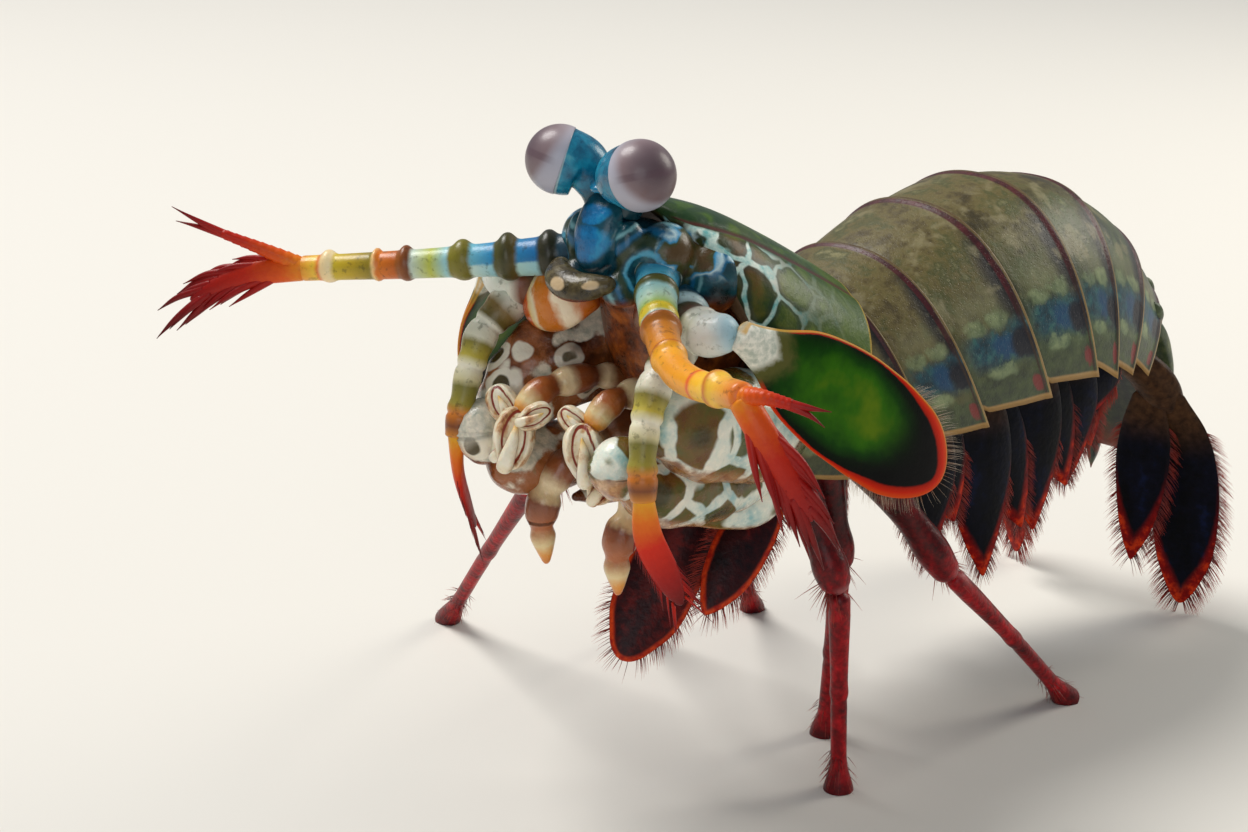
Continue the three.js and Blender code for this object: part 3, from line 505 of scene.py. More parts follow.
def ringSkin(k):
    t = np.concatenate((np.linspace(0, 0.9, rings["steps"]), (0.93, 0.955, 0.975, 0.99, 1.0)))
    inset = np.interp(t, (0, 0.06, 0.12, 0.3, 0.6, 0.9, 0.96, 1.0),
                      (1.25, 0.78, 0.52, 0.3, 0.05, -0.12, -0.32, -0.34))
    lift = np.interp(t, (0, 0.16, 0.6, 1.0), (2.6, 0.9, 0.1, -0.4))
    shift = np.interp(t, (0, 0.1), (-rings["tuck"], 0))
    lip = [(1.0, -0.26, 0.14, -0.3), (1.0, -0.02, 0.2, -0.1), (1.0, 0.3, 0.1, 0.2), (0.985, 0.52, 0.0, 0.5),
           (0.93, 0.7, 0.0, 0.7), (0.86, 0.9, 0.0, 0.9)]
    profile = list(zip(t, inset, shift, lift)) + lip
    points, arc, under = zip(*(bandLoop(stationAt(k, k + 1, a), b, c, d) for a, b, c, d in profile))
    run = np.repeat(np.array([row[0] for row in profile])[:, None], len(arc[0]), axis=1)
    return tube(np.array(points)[:, ::-1], run=run, arc=np.array(arc)[:, ::-1], under=np.array(under)[:, ::-1],
                order=k)


def shellLook():
    look = Look("shell", roughness=0.38, coat=0.12, coatRoughness=0.3, ior=1.4)
    run, arc, under, order = (look.mark(name) for name in ("run", "arc", "under", "order"))
    rearward = order / 8
    wide = look.noise(0.16, 4, 0.6)
    fine = look.noise(0.75, 5, 0.65)
    tan = look.ramp(wide * 0.65 + fine * 0.35, [
        (0.3, tint(44, 36, 16)), (0.42, tint(78, 66, 32)), (0.5, tint(104, 92, 50)), (0.58, tint(74, 74, 34)),
        (0.68, tint(138, 130, 88))])
    green = look.ramp(wide * 0.6 + fine * 0.4, [
        (0.3, tint(20, 30, 16)), (0.45, tint(42, 58, 30)), (0.55, tint(70, 84, 50)), (0.68, tint(106, 120, 84))])
    colour = look.blend(tan, green, look.step(arc * 0.55 + rearward * 0.75, 0.52, 0.95))  # greener below and behind
    level = arc + (look.noise(0.35, 2) - 0.5) * 0.06 + (fine - 0.5) * 0.07
    colour = look.blend(colour, tint(142, 140, 104),
                        look.band(level, 0.5, 0.6, 0.06) * look.step(run, 0.1, 0.3) * 0.4)
    smudge = look.blob(level, run, (0.5, 0.98), (0.24, 0.24), 0.9)  # dark before the lip
    colour = look.blend(colour, tint(14, 12, 26), smudge * 0.92)
    pale = look.step(look.noise(0.3, 3, at=look.wobble(3.0, 0.15)), 0.52, 0.66) * look.band(arc, 0.1, 0.62, 0.1)
    colour = look.blend(colour, tint(150, 140, 104), pale * 0.5)
    teal = look.band(level, 0.655, 0.8, 0.04) * look.step(run, 0.0, 0.3)  # the band along the flank
    sea = look.ramp(fine, [(0.3, tint(5, 34, 46)), (0.5, tint(12, 68, 84)), (0.66, tint(44, 100, 100))])
    colour = look.blend(colour, sea, teal * look.step(order, 0.5, 3.0) * 0.92)
    colour = look.blend(colour, tint(10, 62, 104), look.blob(level, run, (0.73, 0.62), (0.05, 0.16), 0.8) * 0.7)
    colour = look.blend(colour, tint(7, 10, 26), look.blob(level, run, (0.745, 0.86), (0.062, 0.17), 0.6))
    for centre, radii in (((0.625, 0.34), (0.032, 0.13)), ((0.615, 0.68), (0.034, 0.15)),
                          ((0.83, 0.45), (0.03, 0.17))):
        patch = look.blob(level, run + (wide - 0.5) * 0.4, centre, radii, 0.85)
        colour = look.blend(colour, look.ramp(fine, [(0.35, tint(98, 118, 84)), (0.6, tint(150, 164, 118))]),
                            patch * 0.62)
    plate = look.step(level, 0.85, 0.88)  # the lower corner
    olive = look.ramp(fine, [(0.35, tint(34, 44, 26)), (0.65, tint(70, 82, 46))])
    colour = look.blend(colour, olive, plate * 0.85)
    colour = look.blend(colour, tint(126, 30, 34), look.blob(level, run, (0.91, 0.88), (0.04, 0.07), 0.5) * 0.85)
    plum = look.band(run, 0.9, 0.964, 0.01) * (1 - look.step(arc, 0.5, 0.75))  # the line before the lip
    colour = look.blend(colour, look.ramp(fine, [(0.3, tint(44, 6, 14)), (0.7, tint(88, 20, 28))]), plum * 0.95)
    thin = look.band(run, 0.925, 0.95, 0.01) * look.step(arc, 0.45, 0.7)
    colour = look.blend(colour, tint(52, 34, 22), thin * 0.9)
    gold = look.ramp(arc + fine * 0.2, [(0.1, tint(78, 58, 32)), (0.6, tint(112, 90, 48)),
                                        (0.95, tint(148, 120, 70))])
    colour = look.blend(colour, gold, look.step(run, 0.968, 0.978))
    colour = look.blend(colour, tint(176, 136, 78), look.step(arc, 0.968, 0.98) * 0.9)
    colour = look.blend(colour, look.ramp(fine, [(0.35, tint(58, 36, 26)), (0.7, tint(104, 70, 48))]), under)
    pits = look.cells(2.6, "F1")
    height = look.noise(1.4, 5, 0.6) * 0.6 + look.noise(5.0, 2) * 0.2 + look.step(pits, 0.1, 0.3) * 0.25
    return look.finish(colour, 0.3 + fine * 0.3, height, relief=0.22)


shell = shellLook()
for k, name in enumerate(rings["names"]):
    skins = [ringSkin(k)]
    if name == "abdomen_6":
        station = stationAt(8, 9, 0.93)
        back, ahead, rise = stationAxes(station)
        for x in rings["rearSpines"]:
            down = station[4] * (1 - (1 - (abs(x) / station[3]) ** rings["archPower"]) ** (1 / rings["archPower"]))
            root = back + np.array((x, 0, 0)) - (down + 0.5) * rise
            spine = sweep([root - 1.6 * ahead, root + 0.4 * ahead + 0.3 * rise, root + 2.6 * ahead + 0.5 * rise],
                          [0.3, 0.85, 0.7, 0.06], around=14, steps=14)
            skins.append(spine.mark(arc=0.35, under=0, order=8, run=0.5 + 0.45 * spine.marks["run"]))
    piece(f"{name}_plate", skins, [shell], "shell", name)
print("body rings")

# Carapace

shield = {
    # y, z, slope, half width and depth along the middle of the shield
    "line": [(3, 68.2, 12, 6.2, 6.5), (5, 68.4, 0, 11, 11), (10.5, 66.8, -16, 13.6, 13.4),
             (17, 63.6, -26, 14.8, 14.2), (23, 60.2, -32, 15.4, 13.8), (27.2, 57.6, -34, 15.4, 12.6)],
    "thick": 0.75,
    "sweep": 2.5,
    "steps": 64,
    "across": 120,
}


def shieldArch(y, z, slope, half, deep, angle, inset):  # one arch, and how far down the side each point lies
    a = math.radians(slope)
    ahead, rise = np.array((0, math.cos(a), math.sin(a))), np.array((0, -math.sin(a), math.cos(a)))
    down = (deep - inset * 0.6) * (1 - np.abs(np.cos(angle)) ** 0.8)
    x = (half - inset) * np.sign(np.sin(angle)) * np.abs(np.sin(angle)) ** 0.85
    points = (np.array((0, y, z)) + x[:, None] * (1, 0, 0) + (-inset - down)[:, None] * rise
              + (shield["sweep"] * (down / deep) ** 2)[:, None] * ahead)
    return points, down / deep


def shieldSkin():
    rows = np.array(shield["line"], float)
    t = np.linspace(0, 1, shield["steps"] + 1)
    angle = np.radians(np.linspace(90, -90, shield["across"] + 1))
    loops, runs, downs, insides = [], [], [], []
    for k, row in enumerate(zip(*(smoothRow(rows[:, column], t) for column in range(5)))):
        outer, down = shieldArch(*row, angle, 0)
        inner, _ = shieldArch(*row, angle, shield["thick"])
        loops.append(np.vstack((outer, inner[::-1])))
        down = down * np.sign(-np.sin(angle))
        downs.append(np.concatenate((down, down[::-1])))
        insides.append(np.concatenate((np.zeros(len(down)), np.ones(len(down)))))
        runs.append(np.full(2 * len(down), t[k]))
    skin = tube(np.array(loops), run=np.array(runs), down=np.array(downs), inner=np.array(insides))
    ridge = np.exp(-((np.abs(skin.marks["down"]) - 0.16) / 0.035) ** 2) * (1 - skin.marks["inner"])
    skin.points[:, 2] -= 0.28 * ridge * np.clip(skin.marks["run"] * 6, 0, 1)  # the groove beside the middle
    return skin


def carapaceLook():
    look = Look("carapace", roughness=0.38, coat=0.1, coatRoughness=0.2, ior=1.35)
    run, down, inner = (look.mark(name) for name in ("run", "down", "inner"))
    out = abs(down)
    fine = look.noise(0.7, 4, 0.6)
    green = look.ramp(look.noise(0.12, 3) * 0.7 + fine * 0.3, [
        (0.3, tint(16, 44, 2)), (0.45, tint(44, 78, 4)), (0.58, tint(72, 98, 8)), (0.7, tint(100, 120, 26))])
    front = 1 - look.step(run + (fine - 0.5) * 0.25, 0.34, 0.66)  # where the net is
    net = look.cells(0.25, at=look.wobble(2.2, 0.3))
    cell = look.ramp(look.noise(0.2, 2) * 0.6 + fine * 0.4, [
        (0.38, tint(30, 50, 14)), (0.5, tint(84, 72, 26)), (0.6, tint(106, 56, 24))])
    colour = look.blend(green, cell, front * look.step(out, 0.14, 0.26) * 0.75)
    lines = (1 - look.step(net, 0.03, 0.09)) * (front * 0.95 + 0.16 * (1 - look.step(run, 0.5, 0.95)))
    colour = look.blend(colour, tint(10, 40, 34),
                        (1 - look.step(net, 0.1, 0.24)) * 0.6 * (1 - look.step(run, 0.5, 0.9)))
    lines = lines * look.step(out, 0.17, 0.24)
    pale = look.ramp(fine, [(0.35, tint(112, 178, 176)), (0.55, tint(206, 226, 214)), (0.7, tint(242, 244, 232))])
    colour = look.blend(colour, pale, lines)
    groove = look.band(out, 0.145, 0.175, 0.012) * look.step(run, 0.04, 0.1)  # the two grooves along the middle
    colour = look.blend(colour, tint(70, 22, 14), groove * 0.95)
    streak = (look.band(run, 0.01, 0.13, 0.03) * look.step(out, 0.25, 0.4)
              * look.step(look.noise(0.4, 2), 0.44, 0.52))
    colour = look.blend(colour, look.ramp(fine, [(0.4, tint(60, 150, 200)), (0.55, tint(206, 228, 230))]),
                        streak * 0.9)
    colour = look.blend(colour, tint(196, 62, 18), look.step(out, 0.965, 0.985))
    colour = look.blend(colour, tint(168, 140, 40), look.step(run, 0.972, 0.985))
    colour = look.blend(colour, tint(84, 58, 34), inner)  # the underside
    height = look.noise(0.5, 3) * 0.8 + look.noise(3.5, 3) * 0.12 - groove * 0.4
    return look.finish(colour, 0.32 + fine * 0.2, height, relief=0.3)


piece("carapace_shield", [shieldSkin()], [carapaceLook()], "shell", "carapace")
print("carapace")

# Head and eyes

head = {
    # a path, its half widths and its half thicknesses
    "core": ([(0, 14.6, 46.5), (0, 10.4, 52.5), (0, 5, 60), (0, 0.6, 63), (0, -1.6, 63.4)],
             (8.4, 8.8, 8.2, 6.8, 5.2, 2.6), (7, 7.6, 7.2, 6, 4.9, 3)),
    "column": ([(0, 3, 68.4), (0, -0.4, 68.2), (0, -2.2, 66), (0, -2.8, 63.4), (0, -3.4, 61.8)],
               (2.3, 2.5, 2.6, 2.4, 1.6), (1.4, 1.5, 1.5, 1.4, 1)),
    "lip": ([(-5, -2.4, 61.8), (-2.4, -4.9, 61.1), (0.8, -5.6, 60.8), (4.2, -3.6, 61.4)],
            (0.9, 1.5, 1.7, 1.5, 0.8), (0.8, 1.2, 1.3, 1.2, 0.7)),
    "rostrum": ([(0, 3.6, 70), (0, 0.6, 70.5), (0, -2.6, 69.9)], (3.9, 3.6, 0.7), (0.5, 0.55, 0.4)),
    # centre and radii of the plates round the antenna roots, for the left side
    "bulges": [((5.2, 2.2, 63.6), (3.2, 3, 3.2)), ((3.4, -0.8, 64.4), (1.8, 1.4, 2.8)),
               ((7.2, 6.4, 61), (3.4, 4, 4)), ((3, -1.6, 60.4), (2.4, 2, 2))],
    "socket": (4.9, 0.6, 62),  # the middle of the rings round an antennule's root
    "rings": ((2.75, 0.62, -0.6), (3.35, 0.7, 0.6)),  # radius, thickness and setback of each ring
    "cheek": {"left": ([(3.6, 2.4, 58.6), (5.8, 0.8, 57.6), (8, 1.2, 56.2), (9.6, 2.2, 55)],
                       (2.2, 2.8, 2.8, 1.2), (1.6, 2, 1.8, 0.9)),
              "right": ([(-3.6, 1.8, 58.8), (-6.2, -0.6, 57.6), (-9.6, -0.8, 56.4), (-12.4, -0.2, 55.2)],
                        (2.4, 3.2, 3.4, 2.8, 1.4), (1.6, 2, 2, 1.6, 0.9))},
    "cheekShade": {"left": tint(130, 70, 50), "right": tint(250, 240, 230)},
    "voxel": 0.24,
    "smoothing": 8,
}


def remeshed(name, skins, material, voxel, smoothing):  # several skins as one smooth surface
    made = bpy.data.objects.new(name, meshOf(name, skins))
    scene.collection.objects.link(made)
    remesh = made.modifiers.new("remesh", "REMESH")
    remesh.mode = "VOXEL"
    remesh.voxel_size = voxel * mm
    remesh.use_smooth_shade = True
    soften = made.modifiers.new("soften", "SMOOTH")
    soften.iterations = smoothing
    depsgraph = bpy.context.evaluated_depsgraph_get()
    mesh = bpy.data.meshes.new_from_object(made.evaluated_get(depsgraph))
    made.modifiers.clear()
    made.data = mesh
    mesh.materials.clear()
    mesh.materials.append(material)
    place = np.empty(3 * len(mesh.vertices), np.float32)
    mesh.vertices.foreach_get("co", place)
    place = (place.reshape(-1, 3) / mm - modelShift).astype(np.float32)
    if "place" in mesh.attributes:  # the old points' values
        mesh.attributes.remove(mesh.attributes["place"])
    mesh.attributes.new("place", "FLOAT_VECTOR", "POINT").data.foreach_set("vector", place.ravel())
    return made


def axesOf(look):  # the body coordinates one by one, then together with both sides folded onto one
    x = look.add("ShaderNodeSeparateXYZ", {}, {0: look.place()}, output="X")
    y, z = (Val(look, x.socket.node.outputs[axis]) for axis in "YZ")
    return x, y, z, look.add("ShaderNodeCombineXYZ", {}, {"X": abs(x), "Y": y, "Z": z})


def headLook():
    look = Look("headTeal", roughness=0.3, coat=0.2, coatRoughness=0.2, ior=1.4)
    x, y, z, folded = axesOf(look)
    fine = look.noise(0.9, 4, 0.6)
    colour = look.ramp(look.noise(0.3, 3) * 0.6 + fine * 0.4, [
        (0.32, tint(4, 22, 26)), (0.45, tint(8, 46, 56)), (0.56, tint(16, 74, 88)), (0.68, tint(44, 104, 104))])
    away = look.add("ShaderNodeVectorMath", {"operation": "DISTANCE"}, {0: folded, 1: head["socket"]},
                    output="Value")
    away = away + (fine - 0.5) * 0.5
    for near, far, shade in ((2.7, 3.1, tint(86, 168, 196)), (3.3, 3.9, tint(52, 62, 34)),
                             (4.1, 4.5, tint(24, 96, 136)), (4.9, 5.2, tint(120, 170, 176))):
        colour = look.blend(colour, shade, look.band(away, near, far, 0.14) * look.step(abs(x), 2.6, 3.2) * 0.85)
    # mottled plates at the sides
    side = look.step(abs(x) + y * 0.3 + (fine - 0.5) * 2, 6.2, 7.4) * look.step(z, 61, 62.5)
    patches = look.noise(0.3, 2, 0.4, at=look.wobble(2.0, 0.3))
    mottle = look.ramp(patches + (fine - 0.5) * 0.08, [
        (0.4, tint(84, 62, 30)), (0.47, tint(64, 72, 34)), (0.5, tint(60, 150, 196)), (0.55, tint(196, 222, 226)),
        (0.6, tint(36, 110, 150)), (0.64, tint(20, 60, 70))])
    colour = look.blend(colour, mottle, side)
    column = 1 - look.step(abs(x) + (fine - 0.5) * 0.5, 2.2, 2.7)  # the stalk under the eyes, with two blue plates
    colour = look.blend(colour, tint(10, 70, 88), column * look.step(z, 61.5, 62.5) * 0.7)
    for middle, size in ((67.6, (1.7, 0.95)), (64.7, (2.2, 1.85))):
        plate = look.blob(x * (1 + (middle - z) * 0.16) + (fine - 0.5) * 0.6, z + (fine - 0.5) * 0.9, (0.2, middle),
                          size, 0.3)
        blue = look.ramp(x * 0.12 + fine, [(0.3, tint(2, 84, 130)), (0.6, tint(6, 112, 168)),
                                           (0.8, tint(30, 140, 186))])
        colour = look.blend(colour, blue, plate * (1 - look.step(y, 0.5, 1.5)))
    under = 1 - look.step(z + (fine - 0.5) * 1.2, 58.6, 60)  # brown below
    brown = look.ramp(fine * 0.5 + look.noise(0.3, 3) * 0.5, [
        (0.35, tint(46, 20, 10)), (0.5, tint(120, 56, 18)), (0.62, tint(172, 92, 30))])
    colour = look.blend(colour, brown, under)
    return look.finish(colour, 0.2 + fine * 0.2, look.noise(1.3, 4), relief=0.2)


def lipLook():
    look = Look("lip", roughness=0.3, coat=0.2, ior=1.4)
    x, y, z, _ = axesOf(look)
    fine = look.noise(1.2, 4, 0.6)
    colour = look.ramp(look.noise(0.4, 3) * 0.5 + fine * 0.5, [
        (0.35, tint(34, 28, 14)), (0.5, tint(74, 62, 34)), (0.64, tint(112, 100, 64))])
    for centre, size in (((-0.8, 61.1), (1.1, 0.6)), ((2.9, 61.4), (0.7, 0.4))):
        colour = look.blend(colour, tint(206, 178, 138),
                            look.blob(x + (fine - 0.5) * 0.7, z, centre, size, 0.4) * 0.85)
    colour = look.blend(colour, tint(110, 34, 14), (1 - look.step(z + (fine - 0.5) * 0.4, 59.6, 60.0)) * 0.8)
    return look.finish(colour, 0.2 + fine * 0.18, look.noise(1.6, 4), relief=0.2)


def cheekLook(name, shade):
    look = Look(name, roughness=0.3, coat=0.2, subsurface=0.05, ior=1.4)
    run, fine = look.mark("run"), look.noise(1.0, 4, 0.6)
    colour = look.ramp(run + (fine - 0.5) * 0.08 + (look.noise(0.35, 2) - 0.5) * 0.12, [
        (0.0, tint(150, 74, 24)), (0.22, tint(206, 112, 24)), (0.3, tint(236, 222, 196)),
        (0.36, tint(240, 230, 206)), (0.42, tint(196, 112, 22)), (0.58, tint(212, 128, 26)),
        (0.63, tint(242, 232, 200)), (0.7, tint(238, 214, 150)), (0.75, tint(216, 96, 20)),
        (0.9, tint(196, 84, 24)), (1.0, tint(226, 196, 170))])
    colour = look.blend(colour, shade, 0.9, "MULTIPLY")
    return look.finish(colour, 0.2 + fine * 0.18, look.noise(1.4, 4), relief=0.2)


def rostrumLook():
    look = Look("rostrum", roughness=0.25, coat=0.6)
    colour = look.ramp(look.mark("run") + (look.noise(0.9) - 0.5) * 0.3, [
        (0.1, tint(60, 84, 24)), (0.45, tint(24, 96, 110)), (0.8, tint(20, 120, 160))])
    return look.finish(colour, height=look.noise(1.5), relief=0.15)


skins = [sweep(*head["core"], steps=30), sweep(*head["column"], facing=(0, -0.7, 0.7), ends=(1, 1.2))]
for _, side in bothSides:
    skins += [roundBall((centre[0] * side, *centre[1:]), radii) for centre, radii in head["bulges"]]
    outward = unit((0.7 * side, -0.66, -0.2))
    one = unit(np.cross(outward, (0, 0, 1)))
    other = np.cross(outward, one)
    for radius, thick, back in head["rings"]:
        turn = np.linspace(0, 2 * math.pi, 25)[:, None]
        middle = np.array((head["socket"][0] * side, *head["socket"][1:])) - back * outward
        ring = middle + radius * (np.cos(turn) * one + np.sin(turn) * other)
        skins.append(sweep(ring, (thick, thick), facing=outward, around=14, steps=60))
made = remeshed("head_front", skins, headLook(), head["voxel"], head["smoothing"])
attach(made, "root")
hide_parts("head")
piece("head_lip", [sweep(*head["lip"], facing=(0, -0.6, 0.8), ends=(0.8, 0.8), around=40)], [lipLook()], "head")
for name, side in bothSides:
    cheek = sweep(*head["cheek"][name], facing=(0.5 * side, -0.8, 0), ends=(1, 1.2), around=48)
    piece(f"cheek_{name}", [cheek], [cheekLook(f"cheek_{name}", head["cheekShade"][name])], "head")
piece("rostrum_leaf", [sweep(*head["rostrum"], ends=(0.4, 0.6), around=40)], [rostrumLook()], "head",
      "rostral_plate")

eyes = {
    "radius": 3.55,
    "centre": (5.6, -1.7, 72.1),
    "gaze": {"left": (0.95, -0.12, 0.28), "right": (-0.72, -0.62, 0.32)},
    "stalk": [(1.9, 0.2, 67.4), (2.6, 0.3, 69.4)],
    "stalkWide": (1.35, 1.7, 2.3, 3.1, 3.47),
}


def corneaLook():
    look = Look("cornea", roughness=0.3, coat=0.15, coatRoughness=0.15, ior=1.4)
    level, fine = look.mark("level"), look.noise(0.5, 3)
    out = 1 - look.mark("run")  # 0 in the middle of the cornea, 0.54 at its edge
    facets = look.cells(9.0, "F1")
    colour = look.ramp(out + (fine - 0.5) * 0.08, [
        (0.0, tint(84, 66, 74)), (0.2, tint(104, 86, 92)), (0.36, tint(132, 112, 116)), (0.5, tint(168, 156, 162))])
    rim = look.step(out + (0.2 - level) * 0.12, 0.36, 0.5)  # pale towards the edge of the eye
    colour = look.blend(colour, tint(176, 176, 190), rim * 0.8)
    middle = look.band(level + (out * 0.1), -0.13, 0.07, 0.03) * (1 - look.step(out, 0.3, 0.5))  # the dark band
    colour = look.blend(colour, tint(92, 68, 78), middle * 0.5)
    return look.finish(colour, 0.3 + fine * 0.15, facets, relief=0.02, strength=0.25)


def eyeCupLook():
    look = Look("eyeCup", roughness=0.3, coat=0.3, coatRoughness=0.15, ior=1.4)
    run, fine = look.mark("run"), look.noise(0.8, 4, 0.6)
    colour = look.ramp(look.noise(0.35, 3) * 0.6 + fine * 0.4, [
        (0.32, tint(4, 52, 74)), (0.46, tint(8, 100, 132)), (0.58, tint(24, 136, 166)), (0.7, tint(100, 180, 188))])
    colour = look.blend(colour, tint(14, 56, 66), 1 - look.step(run, 0.1, 0.4))
    colour = look.blend(colour, tint(176, 196, 196), look.step(run, 0.965, 0.985) * 0.7)
    return look.finish(colour, 0.2 + fine * 0.16, look.noise(1.2, 4), relief=0.2)


cornea, eyeCup = corneaLook(), eyeCupLook()
for name, side in bothSides:
    centre = np.array((eyes["centre"][0] * side, *eyes["centre"][1:]))
    gaze = unit(eyes["gaze"][name])
    path = mirrored(eyes["stalk"], side) + [tuple(centre - 2.6 * gaze), tuple(centre - 0.35 * gaze)]
    cup = sweep(path, eyes["stalkWide"], facing=(0, 0, 1), around=48, steps=48)
    piece(f"eye_cup_{name}", [cup], [eyeCup], "head", f"eyestalk_{name}")
    ball = roundBall(centre + 0.02 * gaze, (eyes["radius"],) * 3, axis=gaze, around=72, steps=48, span=(0.46, 1.0))
    upright = unit(np.array((0.25 * side, 0, 1)) - np.dot((0.25 * side, 0, 1), gaze) * gaze)  # across the dark band
    ball.mark(level=(ball.points - centre) @ upright / eyes["radius"])
    piece(f"cornea_{name}", [ball], [cornea], "eye", f"eye_{name}")
print("head and eyes")

# Antennules

antennules = {
    "stem": {"left": [(4.6, 2, 62.2), (8.6, -2.4, 60.2), (19, -10.4, 57), (31.8, -15.2, 58.4)],
             "right": [(-4.6, 2, 62.2), (-9.5, -1.4, 61.4), (-20, -8.4, 60), (-31.8, -15.2, 58.6)]},
    "stemWide": (2.25, 2.1, 1.85, 1.65, 1.55, 1.45, 1.4),
    # place, height and width of each swelling
    "knots": {"left": ((0.05, 0.16, 0.02), (0.15, 0.1, 0.016), (0.29, 0.06, 0.014), (0.345, 0.16, 0.014),
                       (0.5, 0.13, 0.016), (0.85, 0.16, 0.025)),
              "right": ((0.142, 0.17, 0.024), (0.28, 0.24, 0.026), (0.43, 0.2, 0.026), (0.62, 0.16, 0.016),
                        (0.72, 0.13, 0.01), (0.89, 0.17, 0.02))},
    "brush": {"left": [(31, -15, 58.3), (33.6, -14.8, 55.2), (35.6, -13.4, 51), (36.8, -11.8, 47.4)],
              "right": [(-31, -14.8, 58.7), (-34.6, -18.2, 58.2), (-38, -21, 56.8), (-40.6, -23.2, 55)]},
    "thin": {"left": [(31, -15, 58.3), (33.4, -15, 58.8), (35.8, -13.8, 58.4)],
             "right": [(-31, -14.8, 58.7), (-33.6, -17.4, 60.4), (-37.4, -20.8, 62.4)]},
    "tips": {"left": [(38.4, -12.4, 56.6), (38.8, -12, 58)], "right": [(-41.4, -24.2, 65.2), (-41.4, -23.8, 63.6)]},
    "facing": {"left": (0.6, -0.6, 0.4), "right": (0.6, -0.7, 0.3)},
    "brushWide": (1.3, 1.35, 1.1, 0.6),
    "brushThick": (1.3, 0.75, 0.6, 0.4),
    "tipCount": 18,
}


def collars(places, height=0.12, width=0.03):  # a swelling at each joint, with a narrow waist after it
    def swell(t):
        size = np.ones_like(t)
        for at in places:
            waist = np.exp(-((t - at - 1.5 * width) / (0.45 * width)) ** 2)
            size += height * np.exp(-((t - at) / width) ** 2) - 0.09 * waist
        return size
    return swell


def knots(rows):  # a round swelling at each place
    def swell(t):
        return 0.96 + sum(height * np.exp(-np.abs((t - at) / width) ** 2.6) for at, height, width in rows)
    return swell


def stemLook(name, stops, lowerStops=None):
    look = Look(name, roughness=0.3, coat=0.2, coatRoughness=0.2, subsurface=0.05, ior=1.4)
    run, top = look.mark("run"), look.mark("top")
    fine = look.noise(1.3, 4, 0.6)
    along = run + (fine - 0.5) * 0.012 + (look.noise(0.4, 2) - 0.5) * 0.016
    colour = look.ramp(along, stops)
    if lowerStops:  # other colours on the lower side
        colour = look.blend(look.ramp(along, lowerStops), colour, look.step(top + (fine - 0.5) * 0.3, -0.16, 0.04))
    colour = look.blend(colour, tint(96, 96, 60), look.step(fine, 0.55, 0.7) * 0.5, "MULTIPLY")
    return look.finish(colour, 0.28 + fine * 0.25, look.noise(1.4, 4), relief=0.14)


stemStops = {  # the bands from the root to the brush
    "right": [(0.0, tint(14, 56, 72)), (0.1, tint(16, 58, 76)), (0.115, tint(36, 34, 14)),
              (0.165, tint(44, 42, 16)), (0.18, tint(20, 108, 166)), (0.235, tint(34, 126, 176)),
              (0.25, tint(84, 70, 22)), (0.28, tint(60, 58, 20)), (0.312, tint(78, 76, 24)),
              (0.325, tint(44, 140, 190)), (0.392, tint(104, 176, 196)), (0.405, tint(112, 104, 26)),
              (0.462, tint(126, 118, 30)), (0.475, tint(150, 200, 206)), (0.53, tint(184, 190, 70)),
              (0.592, tint(190, 206, 190)), (0.605, tint(112, 56, 14)), (0.64, tint(150, 82, 20)),
              (0.65, tint(190, 94, 14)), (0.71, tint(216, 116, 18)), (0.722, tint(240, 196, 130)),
              (0.735, tint(140, 122, 24)), (0.8, tint(186, 156, 26)), (0.86, tint(206, 178, 40)),
              (0.872, tint(242, 220, 170)), (0.9, tint(236, 206, 150)), (0.915, tint(224, 120, 40)),
              (0.93, tint(236, 190, 56)), (1.0, tint(222, 120, 24))],
    "left": [(0.0, tint(40, 56, 40)), (0.025, tint(66, 78, 48)), (0.035, tint(214, 226, 222)),
             (0.058, tint(206, 220, 216)), (0.066, tint(44, 58, 36)), (0.08, tint(52, 140, 176)),
             (0.132, tint(78, 168, 192)), (0.142, tint(66, 66, 18)), (0.165, tint(84, 84, 26)),
             (0.178, tint(150, 198, 196)), (0.225, tint(176, 204, 180)), (0.262, tint(150, 176, 90)),
             (0.275, tint(204, 178, 22)), (0.305, tint(206, 184, 40)), (0.315, tint(160, 178, 170)),
             (0.335, tint(140, 156, 140)), (0.342, tint(146, 78, 10)), (0.372, tint(178, 106, 12)),
             (0.48, tint(214, 132, 8)), (0.498, tint(168, 84, 12)), (0.512, tint(238, 166, 32)),
             (0.6, tint(232, 150, 14)), (0.74, tint(238, 158, 14)), (0.752, tint(222, 70, 24)),
             (0.768, tint(244, 178, 30)), (0.835, tint(248, 196, 44)), (0.85, tint(196, 104, 18)),
             (0.87, tint(240, 190, 60)), (1.0, tint(220, 104, 24))],
}
paler = {0.18: tint(150, 198, 204), 0.235: tint(166, 204, 198), 0.325: tint(146, 196, 206),
         0.392: tint(190, 216, 206)}
lowerStops = [(at, paler.get(at, colour)) for at, colour in stemStops["right"]]


def brushLook():
    look = Look("brush", roughness=0.4, coat=0.05, ior=1.3)
    run, fine = look.mark("run"), look.noise(1.6, 4, 0.6)
    colour = look.ramp(run + (fine - 0.5) * 0.14, [
        (0.0, tint(226, 136, 30)), (0.14, tint(216, 84, 18)), (0.36, tint(186, 36, 12)), (0.66, tint(146, 14, 10)),
        (1.0, tint(86, 6, 8))])
    return look.finish(colour, 0.3 + fine * 0.2, look.noise(2.2, 3), relief=0.1)


